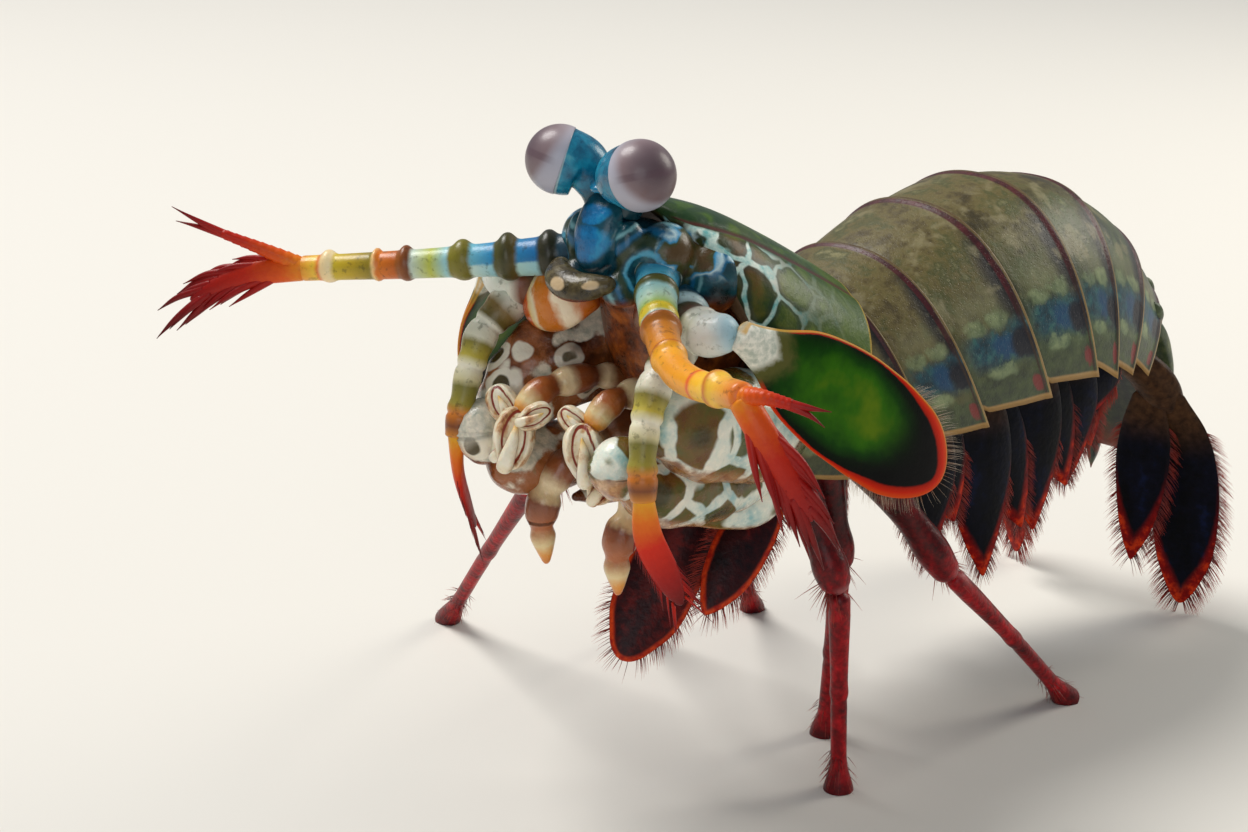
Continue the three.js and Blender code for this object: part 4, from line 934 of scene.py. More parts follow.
def brushSkins(name, seed):
    path, facing = antennules["brush"][name], antennules["facing"][name]
    chance = np.random.default_rng(seed)
    core = sweep(path, antennules["brushWide"], antennules["brushThick"], facing, around=36, steps=50,
                 ends=(0.6, 2.2))
    core.mark(run=core.marks["run"] * 0.75)
    line, skins = core.line, [core]
    for k in range(antennules["tipCount"]):  # curved tapering tips off both edges and the end
        t = 0.3 + 0.68 * k / (antennules["tipCount"] - 1)
        side = 1 if k % 2 else -1
        ahead = line.ahead(np.array([t]))[0]
        rise = unit(np.asarray(facing) - np.dot(facing, ahead) * ahead)
        across = np.cross(rise, ahead)
        lean = side * (0.75 - 0.5 * t) * chance.uniform(0.6, 1.2)
        start = line.at(np.array([t]))[0] + side * 0.55 * float(smoothRow(antennules["brushWide"], t)) * across
        reach = chance.uniform(3.4, 5.6)
        aim = unit(ahead + lean * across + chance.uniform(-0.2, 0.2) * rise)
        droop = 0.16 * reach * np.array((0, 0, -1)) * chance.uniform(0.3, 1.2)
        path = [start - 1.2 * ahead, start + 0.45 * reach * aim,
                start + reach * aim + 0.3 * reach * (ahead - aim) + droop]
        tip = sweep(path, (0.46, 0.4, 0.26, 0.04), around=12, steps=16)
        skins.append(tip.mark(run=0.3 + 0.4 * t + 0.36 * tip.marks["run"]))
    thin = sweep(antennules["thin"][name], (0.95, 0.7, 0.5), facing=facing, steps=40, around=20,
                 swell=collars(np.linspace(0.15, 0.95, 9), 0.07, 0.02))
    skins.append(thin.mark(run=thin.marks["run"] * 0.45))
    before, start = np.array(antennules["thin"][name][-2:])
    back = unit(start - before)
    for end in antennules["tips"][name]:
        fork = sweep([start - 0.8 * back, start + 0.45 * (np.array(end) - start) + 0.3 * back, end],
                     (0.46, 0.3, 0.04), around=14, steps=20)
        skins.append(fork.mark(run=0.45 + 0.5 * fork.marks["run"]))
    return skins


brush = brushLook()
for seed, name in enumerate(antennules["stem"]):
    rows = antennules["knots"][name]
    stem = sweep(antennules["stem"][name], antennules["stemWide"], around=44, steps=220, swell=knots(rows),
                 ends=(0, 0.8))
    for at, height, width in rows:  # the swellings stand highest above
        crest = np.exp(-np.abs((stem.marks["run"] - at) / width) ** 2.6) * np.clip(stem.marks["top"], 0, 1)
        stem.points[:, 2] += 1.7 * height * crest
    surface = stemLook(f"antennule_{name}", stemStops[name], lowerStops if name == "right" else None)
    piece(f"antennule_{name}", [stem], [surface], "banded", f"antennule_stem_{name}")
    piece(f"brush_{name}", brushSkins(name, seed + 5), [brush], "fringe", f"antennule_brush_{name}")
print("antennules")

# Antennae, with their scales

antennae = {
    "arm": [(5.6, 4, 58.6), (10, 0.6, 57.8), (14.4, -1, 57.8), (17.4, -0.6, 58.6)],
    "armWide": (2.6, 2.4, 2.1, 2.3, 1.7),
    "scale": {"left": [(17.6, -0.6, 58.4), (18.9, 4.4, 54.9), (21.4, 15, 46.8), (23.4, 24.6, 38.3)],
              "right": [(-17.6, -0.6, 58.4), (-20.8, 2.2, 55.6), (-27.6, 8.8, 47), (-32.4, 15, 38.6)]},
    "scaleWide": (1.5, 2.5, 4.4, 5.3, 5.7, 5.7, 5.4, 4.9, 4.4),
    "scaleThick": (1.2, 0.9, 0.7, 0.65, 0.6, 0.55, 0.5, 0.45, 0.35),
    "scaleFacing": {"left": (0.67, -0.67, 0.31), "right": (-0.8, -0.2, 0.55)},
    "limb": {"left": [(10.6, -0.6, 56), (11.3, -4.6, 54), (12.1, -7.2, 50.6), (13, -8.8, 46.8), (13.7, -9.4, 42.4)],
             "right": [(-13.2, -0.6, 56.8), (-14.5, -4.6, 53), (-14.2, -6.6, 50), (-14, -7.6, 48),
                       (-13.7, -9.4, 42.4)]},
    "limbWide": (1.9, 2.1, 1.6, 1.8, 1.45, 1.5, 1.3, 1.5, 1.2),
    "blade": [(13.7, -9.4, 43.4), (14, -9, 39), (14.8, -7.2, 34.6), (15.3, -5.6, 31.2)],
    "bladeWide": (1, 1.35, 1.5, 1.3, 0.6),
    "setae": 230,
    "spikes": 60,
}


def scaleLook():
    look = Look("scaleLeaf", roughness=0.3, ior=1.16)
    run, rim, flat = look.mark("run"), look.mark("rim"), look.mark("flat")
    fine = look.noise(1.2, 4, 0.6)
    along = look.noise(0.5, 3, 0.6, stretch=(1.0, 0.35, 0.35))
    glow = look.blob(run, flat, (0.46, 0.2), (0.34, 4.6), 0.95)  # the green middle
    dark = look.ramp(glow * 0.78 + (along - 0.5) * 0.7 * glow + along * 0.12, [
        (0.1, tint(1, 3, 2)), (0.35, tint(3, 20, 3)), (0.6, tint(14, 60, 3)), (0.8, tint(44, 96, 3)),
        (0.95, tint(84, 112, 8))])
    colour = look.blend(dark, tint(3, 3, 5), look.step(run, 0.6, 0.8) * 0.92)
    edge = 0.42 + look.step(run, 0.5, 0.96) * 1.9  # width of the red rim in mm
    rimIn = 1 - look.step((rim + (fine - 0.5) * 0.2) / edge, 0.62, 0.78)
    red = look.ramp(rim / edge, [(0.0, tint(210, 78, 18)), (0.35, tint(196, 34, 6)), (0.7, tint(150, 22, 4))])
    colour = look.blend(colour, red, rimIn * look.step(run, 0.1, 0.2))
    reach = run + (fine - 0.5) * 0.05 + abs(flat) * 0.02  # the pale joint at the root
    colour = look.blend(colour, tint(84, 84, 40), 1 - look.step(reach, 0.18, 0.25))
    colour = look.blend(colour, look.ramp(fine, [(0.35, tint(176, 184, 170)), (0.6, tint(232, 230, 216))]),
                        1 - look.step(reach, 0.13, 0.17))
    colour = look.blend(colour, tint(196, 150, 60),
                        look.band(rim, 0.0, 0.16, 0.05) * look.step(flat, 0.0, 0.5) * 0.8)
    return look.finish(colour, 0.28 + fine * 0.2, along * 0.7 + look.noise(4.0, 2) * 0.15, relief=0.2)


# Hairs along the outline of a leaf, from start to its end; fan leans them towards the end
def rimHairs(skin, count, reach, spread, seed, start, radius, fan=0.5):
    t, half, rise, across, ahead = skin.edge
    chance = np.random.default_rng(seed)
    at = np.sort(chance.uniform(start, 1.0, count))
    side = np.where(chance.uniform(size=count) < 0.5, -1.0, 1.0)
    up, out, on = (np.stack([np.interp(at, t, rows[:, k]) for k in range(3)], -1) for rows in (rise, across, ahead))
    out = out * side[:, None]
    width = np.interp(at, t, half)
    slope = np.interp(at, t, np.gradient(half, t * skin.line.length))
    normal = unit(out - slope[:, None] * on)
    roots = skin.line.at(at) + 0.9 * width[:, None] * out
    aims = unit(normal + fan * on + chance.uniform(-spread, spread, (count, 1)) * up
                + chance.uniform(-spread, spread, (count, 1)) * on)
    lengths = chance.uniform(0.6, 1.1, count) * reach
    return bristles(roots, aims, lengths, radius, droop=on, bend=0.25, patch=np.stack((at, 0.5 + 0.4 * side), -1))


def hairLook(name, root, tip):
    look = Look(name, roughness=0.4, coat=0.1)
    run, own = look.mark("run"), look.mark("own")
    colour = look.ramp(run + (own - 0.5) * 0.5, [(0.05, root), (0.9, tip)])
    return look.finish(look.blend(colour, (0.3, 0.3, 0.3), own * 0.4, "MULTIPLY"))


paleSetae = hairLook("setae", tint(150, 90, 50), tint(226, 210, 184))
redHair = hairLook("redHair", tint(96, 8, 8), tint(196, 50, 18))
scaleSurface = scaleLook()
limbStops = [(0.0, tint(90, 110, 100)), (0.08, tint(214, 212, 196)), (0.16, tint(120, 96, 50)),
             (0.24, tint(96, 84, 34)), (0.27, tint(222, 218, 200)), (0.38, tint(214, 210, 186)),
             (0.42, tint(130, 120, 50)), (0.5, tint(188, 172, 66)), (0.56, tint(236, 230, 206)),
             (0.64, tint(206, 196, 150)), (0.68, tint(120, 114, 48)), (0.78, tint(150, 138, 52)),
             (0.84, tint(206, 120, 34)), (0.92, tint(120, 60, 20)), (1.0, tint(220, 140, 40))]
armStops = [(0.0, tint(30, 90, 110)), (0.2, tint(16, 70, 92)), (0.34, tint(190, 214, 214)),
            (0.42, tint(60, 56, 30)), (0.58, tint(116, 64, 40)), (0.66, tint(224, 222, 206)),
            (0.86, tint(214, 216, 208)), (1.0, tint(150, 190, 204))]
armSurface, limbSurface = stemLook("antennaArm", armStops), stemLook("antennaLimb", limbStops)


def bladeLook():
    look = Look("limbBlade", roughness=0.32, coat=0.05, ior=1.3)
    run, fine = look.mark("run"), look.noise(1.5, 4, 0.6)
    colour = look.ramp(run + (fine - 0.5) * 0.12, [
        (0.0, tint(222, 168, 40)), (0.2, tint(226, 112, 22)), (0.42, tint(206, 36, 8)), (0.75, tint(150, 10, 6)),
        (1.0, tint(92, 4, 6))])
    return look.finish(colour, 0.28 + fine * 0.2, look.noise(2.0, 3), relief=0.1)


bladeSurface = bladeLook()
for seed, (name, side) in enumerate(bothSides):
    arm = sweep(mirrored(antennae["arm"], side), antennae["armWide"], around=40, steps=70, ends=(0, 1.2),
                swell=collars((0.3, 0.62), 0.12, 0.05))
    piece(f"antenna_base_{name}", [arm], [armSurface], "banded", f"antenna_arm_{name}")
    scaleSkin = leaf(antennae["scale"][name], antennae["scaleWide"], antennae["scaleThick"],
                     antennae["scaleFacing"][name], around=64, steps=120, arch=0.1, ends=(0.5, 7.5))
    piece(f"antenna_scale_{name}", [scaleSkin], [scaleSurface], "scale", f"antennal_scale_{name}")
    setae = rimHairs(scaleSkin, antennae["setae"], 2.2, 0.25, seed + 11, 0.66, radius=0.02)
    piece(f"scale_setae_{name}", [setae], [paleSetae], "fringe")
    limb = sweep(antennae["limb"][name], antennae["limbWide"], around=36, steps=110, ends=(0.6, 0.4),
                 swell=collars((0.24, 0.52, 0.8), 0.1, 0.03))
    lower = sweep(mirrored(antennae["blade"], side), antennae["bladeWide"], (0.9, 0.7, 0.55, 0.45, 0.3),
                  facing=(0.7 * side, -0.7, 0), around=28, steps=60, ends=(0.4, 1.6), layer=1)
    chance = np.random.default_rng(seed + 40)
    at = chance.uniform(0.2, 1.0, antennae["spikes"])
    ahead = lower.line.ahead(at)
    turn = np.where(chance.uniform(size=antennae["spikes"]) < 0.5, 1, -1)
    out = unit(np.cross(ahead, (0.7 * side, -0.7, 0))) * turn[:, None]
    spikes = bristles(lower.line.at(at) + 0.7 * out, ahead + 0.35 * out, 2.2 + 2.0 * at, 0.14, droop=ahead,
                      bend=0.1, corners=5, layer=1)
    spikes.mark(run=0.5 + 0.5 * spikes.marks["run"])
    piece(f"antenna_{name}", [limb, lower, spikes], [limbSurface, bladeSurface], "banded", f"antenna_limb_{name}")
print("antennae")

# Raptorial claws

claws = {
    "arm": {"left": [(8.4, 19, 44.6), (10.6, 12.5, 44.6), (11.6, 4, 46.6), (11.4, -3.4, 47.6), (10.8, -6, 46.6)],
            "right": [(-8, 17.6, 48), (-8.4, 11.5, 50.6), (-10.6, 3.6, 49.4), (-12.4, -3.4, 45.6),
                      (-12.4, -6, 44)]},
    "wrist": {"left": [(10, -5.6, 46), (8.6, -7.8, 44.8), (8.4, -6.4, 41)],
              "right": [(-12.6, -4.6, 45.6), (-12.4, -7.2, 43.4), (-11.8, -6, 39.6)]},
    "forearm": {"left": [(8.8, -6.6, 43.4), (8.8, -3.4, 41), (9.4, 4, 39.6), (9.8, 12.4, 39)],
                "right": [(-11.6, -6, 41.2), (-11, -3, 38.8), (-10.4, 4, 38.8), (-10, 12, 39.2)]},
    "club": {"left": [(9.6, 15.4, 38.6), (8.4, 12.2, 36), (6.8, 5.8, 35.8), (6, 0.4, 37)],
             "right": [(-9.8, 15.2, 38.4), (-8.8, 12.2, 35.4), (-7.4, 6, 34.6), (-6.6, 0.6, 35.2)]},
    "armWide": (2.6, 3.6, 4.4, 4.5, 4.2, 3.6, 2.2), "armThick": (3, 4.6, 5.8, 6, 5.6, 4.6, 2.6),
    "wristWide": (1.6, 2.9, 1.6), "wristThick": (1.6, 2.7, 1.6),
    "forearmWide": (2.4, 3.3, 3.6, 3.4, 2.9, 2.2), "forearmThick": (2, 3.2, 3.8, 3.6, 3, 2.2),
    "clubWide": (2, 3, 2.3, 1.4, 0.4), "clubThick": (2.2, 3, 2.2, 1.3, 0.4),
    "knob": {"left": 0.3, "right": 0.5},  # how rough the arm is
}


def spots(look, size, seed=0.0):  # round spots, as the distance from their middles and from their edges
    at = look.wobble(1.5, 0.3) + (seed, 0.0, 0.0)
    return look.cells(size, "F1", at=at, randomness=0.75), look.cells(size, at=at, randomness=0.75)


def clawSpotted():
    look = Look("clawSpotted", roughness=0.3, coat=0.25, coatRoughness=0.15, subsurface=0.05, ior=1.4)
    run, top, fine = look.mark("run"), look.mark("top"), look.noise(0.9, 4, 0.6)
    near, gap = spots(look, 0.175)
    net = look.ramp(look.noise(0.3, 3) * 0.6 + fine * 0.4, [
        (0.35, tint(150, 190, 190)), (0.5, tint(222, 228, 214)), (0.62, tint(240, 236, 218))])
    spot = look.ramp(look.noise(0.13, 2) * 0.7 + fine * 0.3, [
        (0.36, tint(46, 62, 26)), (0.47, tint(84, 88, 30)), (0.56, tint(110, 84, 34)), (0.66, tint(104, 62, 30))])
    # the spots between the lines of the net
    inside = look.step(gap, 0.065, 0.11) * (1 - look.step(near, 0.58, 0.68))
    colour = look.blend(net, spot, inside)
    colour = look.blend(colour, tint(52, 50, 22), (1 - look.step(near, 0.16, 0.34)) * 0.75)
    low = 1 - look.step(top + (fine - 0.5) * 0.5, -0.86, -0.6)  # brown below
    colour = look.blend(colour, look.ramp(fine, [(0.35, tint(150, 84, 36)), (0.65, tint(206, 156, 104))]),
                        low * 0.8)
    return look.finish(colour, 0.16 + fine * 0.2, look.noise(1.0, 4) + inside * 0.15, relief=0.3)


def clawBrown():
    look = Look("clawBrown", roughness=0.3, coat=0.25, coatRoughness=0.15, subsurface=0.05, ior=1.4)
    run, top, fine = look.mark("run"), look.mark("top"), look.noise(0.9, 4, 0.6)
    colour = look.ramp(look.noise(0.16, 3) * 0.7 + fine * 0.3, [
        (0.34, tint(48, 22, 12)), (0.44, tint(104, 54, 24)), (0.53, tint(146, 86, 44)), (0.62, tint(160, 100, 64)),
        (0.7, tint(120, 110, 70))])
    patch = look.noise(0.13, 2, 0.4, at=look.wobble(2.0, 0.25) + (20.0, 3.0, 0.0))
    white = look.step(patch + (fine - 0.5) * 0.05, 0.53, 0.56)
    colour = look.blend(colour, look.ramp(fine, [(0.35, tint(176, 176, 160)), (0.6, tint(226, 216, 196))]), white)
    near, gap = spots(look, 0.24, 7.0)
    zone = look.step(run + (look.noise(0.2, 2) - 0.5) * 0.5, 0.45, 0.62)  # ringed spots towards the wrist
    ring = (1 - look.step(near, 0.4, 0.46)) * zone
    colour = look.blend(colour, tint(228, 220, 200), ring)
    colour = look.blend(colour, tint(74, 62, 30), (1 - look.step(near, 0.22, 0.28)) * zone)
    return look.finish(colour, 0.16 + fine * 0.2, look.noise(1.0, 4), relief=0.3)


def roughened(skin, amount, size, seed):  # lumps pushed out from the line of a skin
    out = unit(skin.points - skin.line.at(skin.marks["run"]))
    skin.points += (amount * lumps(skin.points, size, seed))[:, None] * out
    return skin


for name, surface in (("left", clawSpotted()), ("right", clawBrown())):
    arm = sweep(claws["arm"][name], claws["armWide"], claws["armThick"], around=80, steps=120, ends=(2.0, 2.6))
    piece(f"claw_upper_{name}", [roughened(arm, claws["knob"][name], 2.4, 3)], [surface], "spotted",
          f"claw_arm_{name}")
    forearm = sweep(claws["forearm"][name], claws["forearmWide"], claws["forearmThick"], around=60, steps=90,
                    ends=(2, 2))
    wrist = sweep(claws["wrist"][name], claws["wristWide"], claws["wristThick"], around=48, steps=50,
                  ends=(1.4, 1.4))
    piece(f"claw_lower_{name}", [roughened(forearm, 0.2, 1.6, 4), wrist], [surface], "spotted",
          f"claw_forearm_{name}")
    club = sweep(claws["club"][name], claws["clubWide"], claws["clubThick"], around=48, steps=80, ends=(1.6, 0.5))
    piece(f"claw_dactyl_{name}", [club], [surface], "spotted", f"claw_club_{name}")
print("claws")

# Feeding limbs

feeding = {
    "knuckled": {"left": [(3.4, 7, 48), (3.8, 0.4, 49.4), (3.6, -4.4, 48.8), (3.2, -6.4, 46.6)],
                 "right": [(-3.6, 7, 48), (-4.8, 0.2, 49), (-5.8, -5.2, 48.2), (-6, -7.4, 46)]},
    # the middle of each hand, how far it is turned about the line of sight, and its size
    "hands": {"left": [((3.4, -7.2, 44.4), 12, 1.0), ((4.2, -5.4, 41.2), -20, 0.8), ((1.4, -6.6, 47.2), 50, 0.62)],
              "right": [((-6, -8.2, 44), -8, 1.05), ((-8.6, -7, 46.6), 30, 0.8), ((-8.8, -6.6, 42.6), -30, 0.75),
                        ((-3.6, -7.6, 46.8), -60, 0.62)]},
    "hanging": {"left": [(4.6, 8, 43.4), (5.4, 0, 40), (4.8, -3.8, 34.4), (4.6, -3.8, 28.6)],
                "right": [(-4.6, 8, 43.4), (-6.4, 0.4, 40), (-7.8, -2.6, 35), (-7.6, -2.4, 28.2)]},
    "paddle": {"left": [(5.6, 19.4, 38), (7, 15, 33.4), (7.6, 10.4, 29), (7.6, 6, 24.4)],
               "right": [(-2.4, 19, 37.6), (-2.8, 15, 31), (-3.2, 9.6, 22.6), (-3.2, 4.4, 16.2)]},
    "paddleWide": {"left": (1.5, 2.3, 2.9, 3, 2.4, 0.8), "right": (1.7, 2.8, 4, 4.3, 3.9, 1.6)},
}


def creamLook():
    look = Look("creamBrown", roughness=0.3, coat=0.25, coatRoughness=0.15, subsurface=0.1, ior=1.4)
    fine, cloud = look.noise(1.2, 4, 0.6), look.noise(0.4, 3)
    colour = look.ramp(cloud * 0.75 + fine * 0.25, [
        (0.34, tint(140, 84, 50)), (0.4, tint(196, 150, 104)), (0.47, tint(230, 216, 184)),
        (0.64, tint(240, 234, 214))])
    crease = look.mark("fold")
    colour = look.blend(colour, tint(132, 44, 20), look.step(crease + (fine - 0.5) * 0.3, 0.5, 0.8))
    colour = look.blend(colour, tint(232, 190, 110), look.mark("nail"))
    return look.finish(colour, 0.2 + fine * 0.2, look.noise(1.6, 4) - crease * 0.4, relief=0.25)


def hangingLook():
    look = Look("hangingBands", roughness=0.28, coat=0.45, subsurface=0.1)
    run, fine = look.mark("run"), look.noise(1.2, 4, 0.6)
    colour = look.ramp(run + (fine - 0.5) * 0.05, [
        (0.0, tint(96, 50, 26)), (0.2, tint(126, 74, 38)), (0.28, tint(206, 182, 142)), (0.36, tint(104, 50, 24)),
        (0.5, tint(140, 74, 32)), (0.57, tint(220, 198, 158)), (0.63, tint(214, 186, 140)),
        (0.67, tint(120, 60, 26)), (0.8, tint(176, 96, 40)), (0.88, tint(228, 204, 150)),
        (0.94, tint(226, 150, 50)), (1.0, tint(206, 110, 30))])
    return look.finish(colour, 0.22 + fine * 0.2, look.noise(1.6, 4), relief=0.2)


def paddleLook():
    look = Look("paddle", roughness=0.34, ior=1.25)
    run, rim, fine = look.mark("run"), look.mark("rim"), look.noise(1.1, 4, 0.6)
    dark = look.ramp(look.noise(0.3, 3, stretch=(1.0, 0.5, 0.5)) * 0.6 + fine * 0.4, [
        (0.35, tint(20, 10, 16)), (0.5, tint(48, 12, 16)), (0.66, tint(104, 22, 20))])
    colour = look.blend(look.ramp(fine, [(0.3, tint(96, 30, 20)), (0.7, tint(150, 60, 34))]), dark,
                        look.step(run, 0.08, 0.3))
    edge = 1 - look.step(rim + (fine - 0.5) * 0.5, 0.3, 0.7)
    red = look.ramp(fine, [(0.35, tint(150, 24, 12)), (0.65, tint(214, 70, 20))])
    colour = look.blend(colour, red, edge * look.step(run, 0.1, 0.4))
    return look.finish(colour, 0.24 + fine * 0.22, look.noise(2.0, 4), relief=0.15)


def beadSwell(segments, deep):
    def swell(t):
        return 1 - deep * np.abs(np.cos(math.pi * segments * t)) ** 6
    return swell


def handSkins(middle, turn, size):  # the last joint of a feeding limb, with its finger folded along a groove
    sight = unit((0.69, -0.7, 0.2))  # towards the camera
    level = unit(np.cross((0, 0, 1), sight))
    turn = math.radians(turn)
    across = math.cos(turn) * level + math.sin(turn) * np.cross(sight, level)
    up = np.cross(sight, across)

    def placed(rows):
        return np.array(middle) + size * (np.array(rows) @ np.array((across, up, sight)))
    hand = sweep(placed([(0.3, 2.9, -1.4), (0, 1.2, 0), (0, -1.2, 0.1), (-0.2, -3.1, -0.7)]),
                 np.array((1.2, 1.9, 2.1, 1.7, 1.0)) * size, np.array((1, 1.5, 1.6, 1.3, 0.8)) * size,
                 facing=sight, around=56, steps=70, ends=(1.2 * size, 1.2 * size))
    run, top, side = (hand.marks[key] for key in ("run", "top", "side"))
    oval = np.hypot(side, 1.7 * (run - 0.5)) + 0.6 * (top < 0)
    hand.points += (0.5 * size * np.exp(-((oval - 0.78) / 0.14) ** 2))[:, None] * sight
    hand.points -= (0.45 * size * np.exp(-(oval / 0.45) ** 4))[:, None] * sight
    hand.mark(fold=np.exp(-((oval - 0.52) / 0.09) ** 2) + 0.5 * np.exp(-(oval / 0.2) ** 2), nail=0)
    finger = sweep(placed([(-0.6, -3.0, 0.2), (-0.35, -1.6, 1.7), (0, 0.2, 1.9), (0.1, 1.9, 1.6)]),
                   np.array((0.8, 0.85, 0.7, 0.5, 0.12)) * size, facing=sight, around=24, steps=50, ends=(0.4, 0.3))
    finger.mark(fold=0.75 * np.abs(finger.marks["side"]) ** 4, nail=np.clip(finger.marks["run"] * 6 - 4.6, 0, 1))
    return [hand, finger]


cream, hanging, paddle = creamLook(), hangingLook(), paddleLook()
for seed, (name, side) in enumerate(bothSides):
    curl = sweep(feeding["knuckled"][name], (1.3, 1.5, 1.6, 1.3), around=44, steps=90, ends=(0.8, 1.0),
                 swell=beadSwell(3, 0.28), layer=1)
    hands = [skin for row in feeding["hands"][name] for skin in handSkins(*row)]
    piece(f"mouth_claw_{name}", [curl] + hands, [cream, hanging], "banded", f"maxilliped_3_{name}")
    long = sweep(feeding["hanging"][name], (1.7, 1.9, 2.0, 1.8, 1.9, 1.5, 0.5), around=40, steps=110,
                 ends=(0.8, 0.5), swell=beadSwell(5, 0.25))
    piece(f"mouth_limb_{name}", [long], [hanging], "banded", f"maxilliped_4_{name}")
    flap = leaf(feeding["paddle"][name], feeding["paddleWide"][name], (0.9, 0.8, 0.7, 0.6, 0.5, 0.35),
                (0.67, -0.67, 0.31), around=48, steps=60, arch=0.12, ends=(0.8, 1.6))
    piece(f"mouth_paddle_{name}", [flap], [paddle], "fringe", f"maxilliped_5_{name}")
    piece(f"paddle_hair_{name}", [rimHairs(flap, 320, 2.0, 0.3, seed + 21, 0.3, radius=0.05)], [redHair], "fringe")
print("feeding limbs")

# Walking legs

legs = {
    # hip, knee and foot
    "joints": {("1", "left"): [(7.4, 19.4, 37.6), (13.6, 21, 24), (13.2, 22.4, 0)],
               ("1", "right"): [(-7.4, 19.4, 37.6), (-25, 12.6, 29.6), (-54, 22.6, 0)],
               ("2", "left"): [(7.4, 24.4, 38), (8.4, 27.4, 23.4), (3, 32, 0)],
               ("2", "right"): [(-7.4, 24.4, 38), (-21, 28, 26), (-33, 37, 0)],
               ("3", "left"): [(8.4, 27.6, 38.4), (16, 38, 21.6), (18, 60, 0)],
               ("3", "right"): [(-8.4, 27.6, 38.4), (-19, 38, 24), (-28, 54, 0)]},
    "thigh": (2.5, 2.2, 1.9, 1.7, 2, 1.5),
    "shin": (1.2, 1.2, 1.1, 1.0, 0.95, 0.9, 0.9, 1.0, 1.7),
    "footHairs": 70,
    "kneeHairs": 60,
}


def legLook():
    look = Look("leg", roughness=0.34, coat=0.1, coatRoughness=0.15, ior=1.28)
    run, fine = look.mark("run"), look.noise(1.2, 4, 0.6)
    colour = look.ramp(look.noise(0.35, 3) * 0.5 + fine * 0.5, [
        (0.35, tint(60, 0, 6)), (0.5, tint(132, 2, 14)), (0.64, tint(188, 12, 24))])
    # painted shade: the thigh, under the body, is multiplied darker than the shin
    colour = look.blend(colour, tint(140, 120, 130), 1 - look.step(run, 0.3, 0.55), "MULTIPLY")
    knee = look.band(run, 0.475, 0.53, 0.02) * look.step(look.mark("top"), -0.2, 0.7)  # a pale knee
    colour = look.blend(colour, tint(196, 120, 120), knee * 0.6)
    colour = look.blend(colour, tint(36, 4, 8), look.step(run, 0.93, 0.98) * 0.5)
    return look.finish(colour, 0.24 + fine * 0.24, look.noise(1.8, 4), relief=0.18)


legSurface = legLook()
for (number, name), joints in legs["joints"].items():
    hip, knee, foot = np.array(joints, float)
    thigh = sweep([hip, hip + (knee - hip) * 0.5 + (0, 0, 0.8), knee], legs["thigh"], around=32, steps=50,
                  ends=(1, 1.5))
    thigh.mark(run=thigh.marks["run"] * 0.5)
    shin = sweep([knee + (0, 0, 0.4), knee + (foot - knee) * 0.5 + (0, 0, 0.6), foot + (0, 0, 0.02)], legs["shin"],
                 around=28, steps=70, ends=(1.2, 0), swell=collars((0.5,), 0.1, 0.03))
    shin.mark(run=0.5 + shin.marks["run"] * 0.5)
    chance = np.random.default_rng(int(number) * 7 + (name == "right"))
    at = chance.uniform(0.8, 0.99, legs["footHairs"])
    aim = shin.line.ahead(at)
    out = unit(chance.normal(size=(legs["footHairs"], 3)))
    roots = shin.line.at(at) + 1.0 * unit(out - (out * aim).sum(1)[:, None] * aim)
    footHair = bristles(roots, aim + 0.8 * out, 1.6, 0.05, droop=aim, bend=0.2)
    count = legs["kneeHairs"]
    spread = unit(chance.normal(size=(count, 3)) * 0.35 + unit(foot - knee))
    roots = knee + (hip - knee) * 0.14 + 0.8 * spread
    kneeHair = bristles(roots, spread, chance.uniform(2.4, 4.6, count), 0.09, bend=0.1)
    piece(f"leg_{number}_limb_{name}", [thigh, shin], [legSurface], "leg", f"leg_{number}_{name}")
    piece(f"leg_{number}_tuft_{name}", [footHair, kneeHair], [redHair], "leg")
print("legs")

# Swimmerets and tail fan

swimmerets = {
    "length": (23, 29, 27, 22, 14),
    "wide": (1.8, 3.9, 4.4, 3.7, 2.3, 0.5),
    "thick": (0.6, 0.55, 0.45, 0.35, 0.3, 0.2),
    "flaps": ((1.2, -0.1, 1.0), (-1.3, 0.24, 0.9)),  # how far forward, how far turned, and share of the length
    "hairs": 300,
}


def finLook(name, core, sheen, reach):  # reach is how far the red comes in at the tip, in mm
    look = Look(name, roughness=0.36, ior=1.18)
    run, rim, fine = look.mark("run"), look.mark("rim"), look.noise(0.9, 4, 0.6)
    dark = look.ramp(look.noise(0.26, 3, stretch=(1.0, 1.0, 0.4)) * 0.6 + fine * 0.4, [
        (0.4, tint(4, 5, 10)), (0.56, core), (0.72, sheen)])
    colour = look.blend(look.ramp(fine, [(0.3, tint(40, 24, 16)), (0.7, tint(84, 56, 34))]), dark,
                        look.step(run, 0.1, 0.34))
    edge = 1 - look.step((rim + (fine - 0.5) * 0.9) / (0.5 + look.step(run, 0.5, 1.0) * reach), 0.3, 1.0)
    red = look.ramp(fine + (run - 0.7) * 0.4, [(0.3, tint(74, 6, 8)), (0.55, tint(140, 16, 12)),
                                               (0.7, tint(206, 56, 16))])
    colour = look.blend(colour, red, edge * look.step(run, 0.35, 0.85))
    return look.finish(colour, 0.26 + fine * 0.24, look.noise(1.6, 4), relief=0.15)


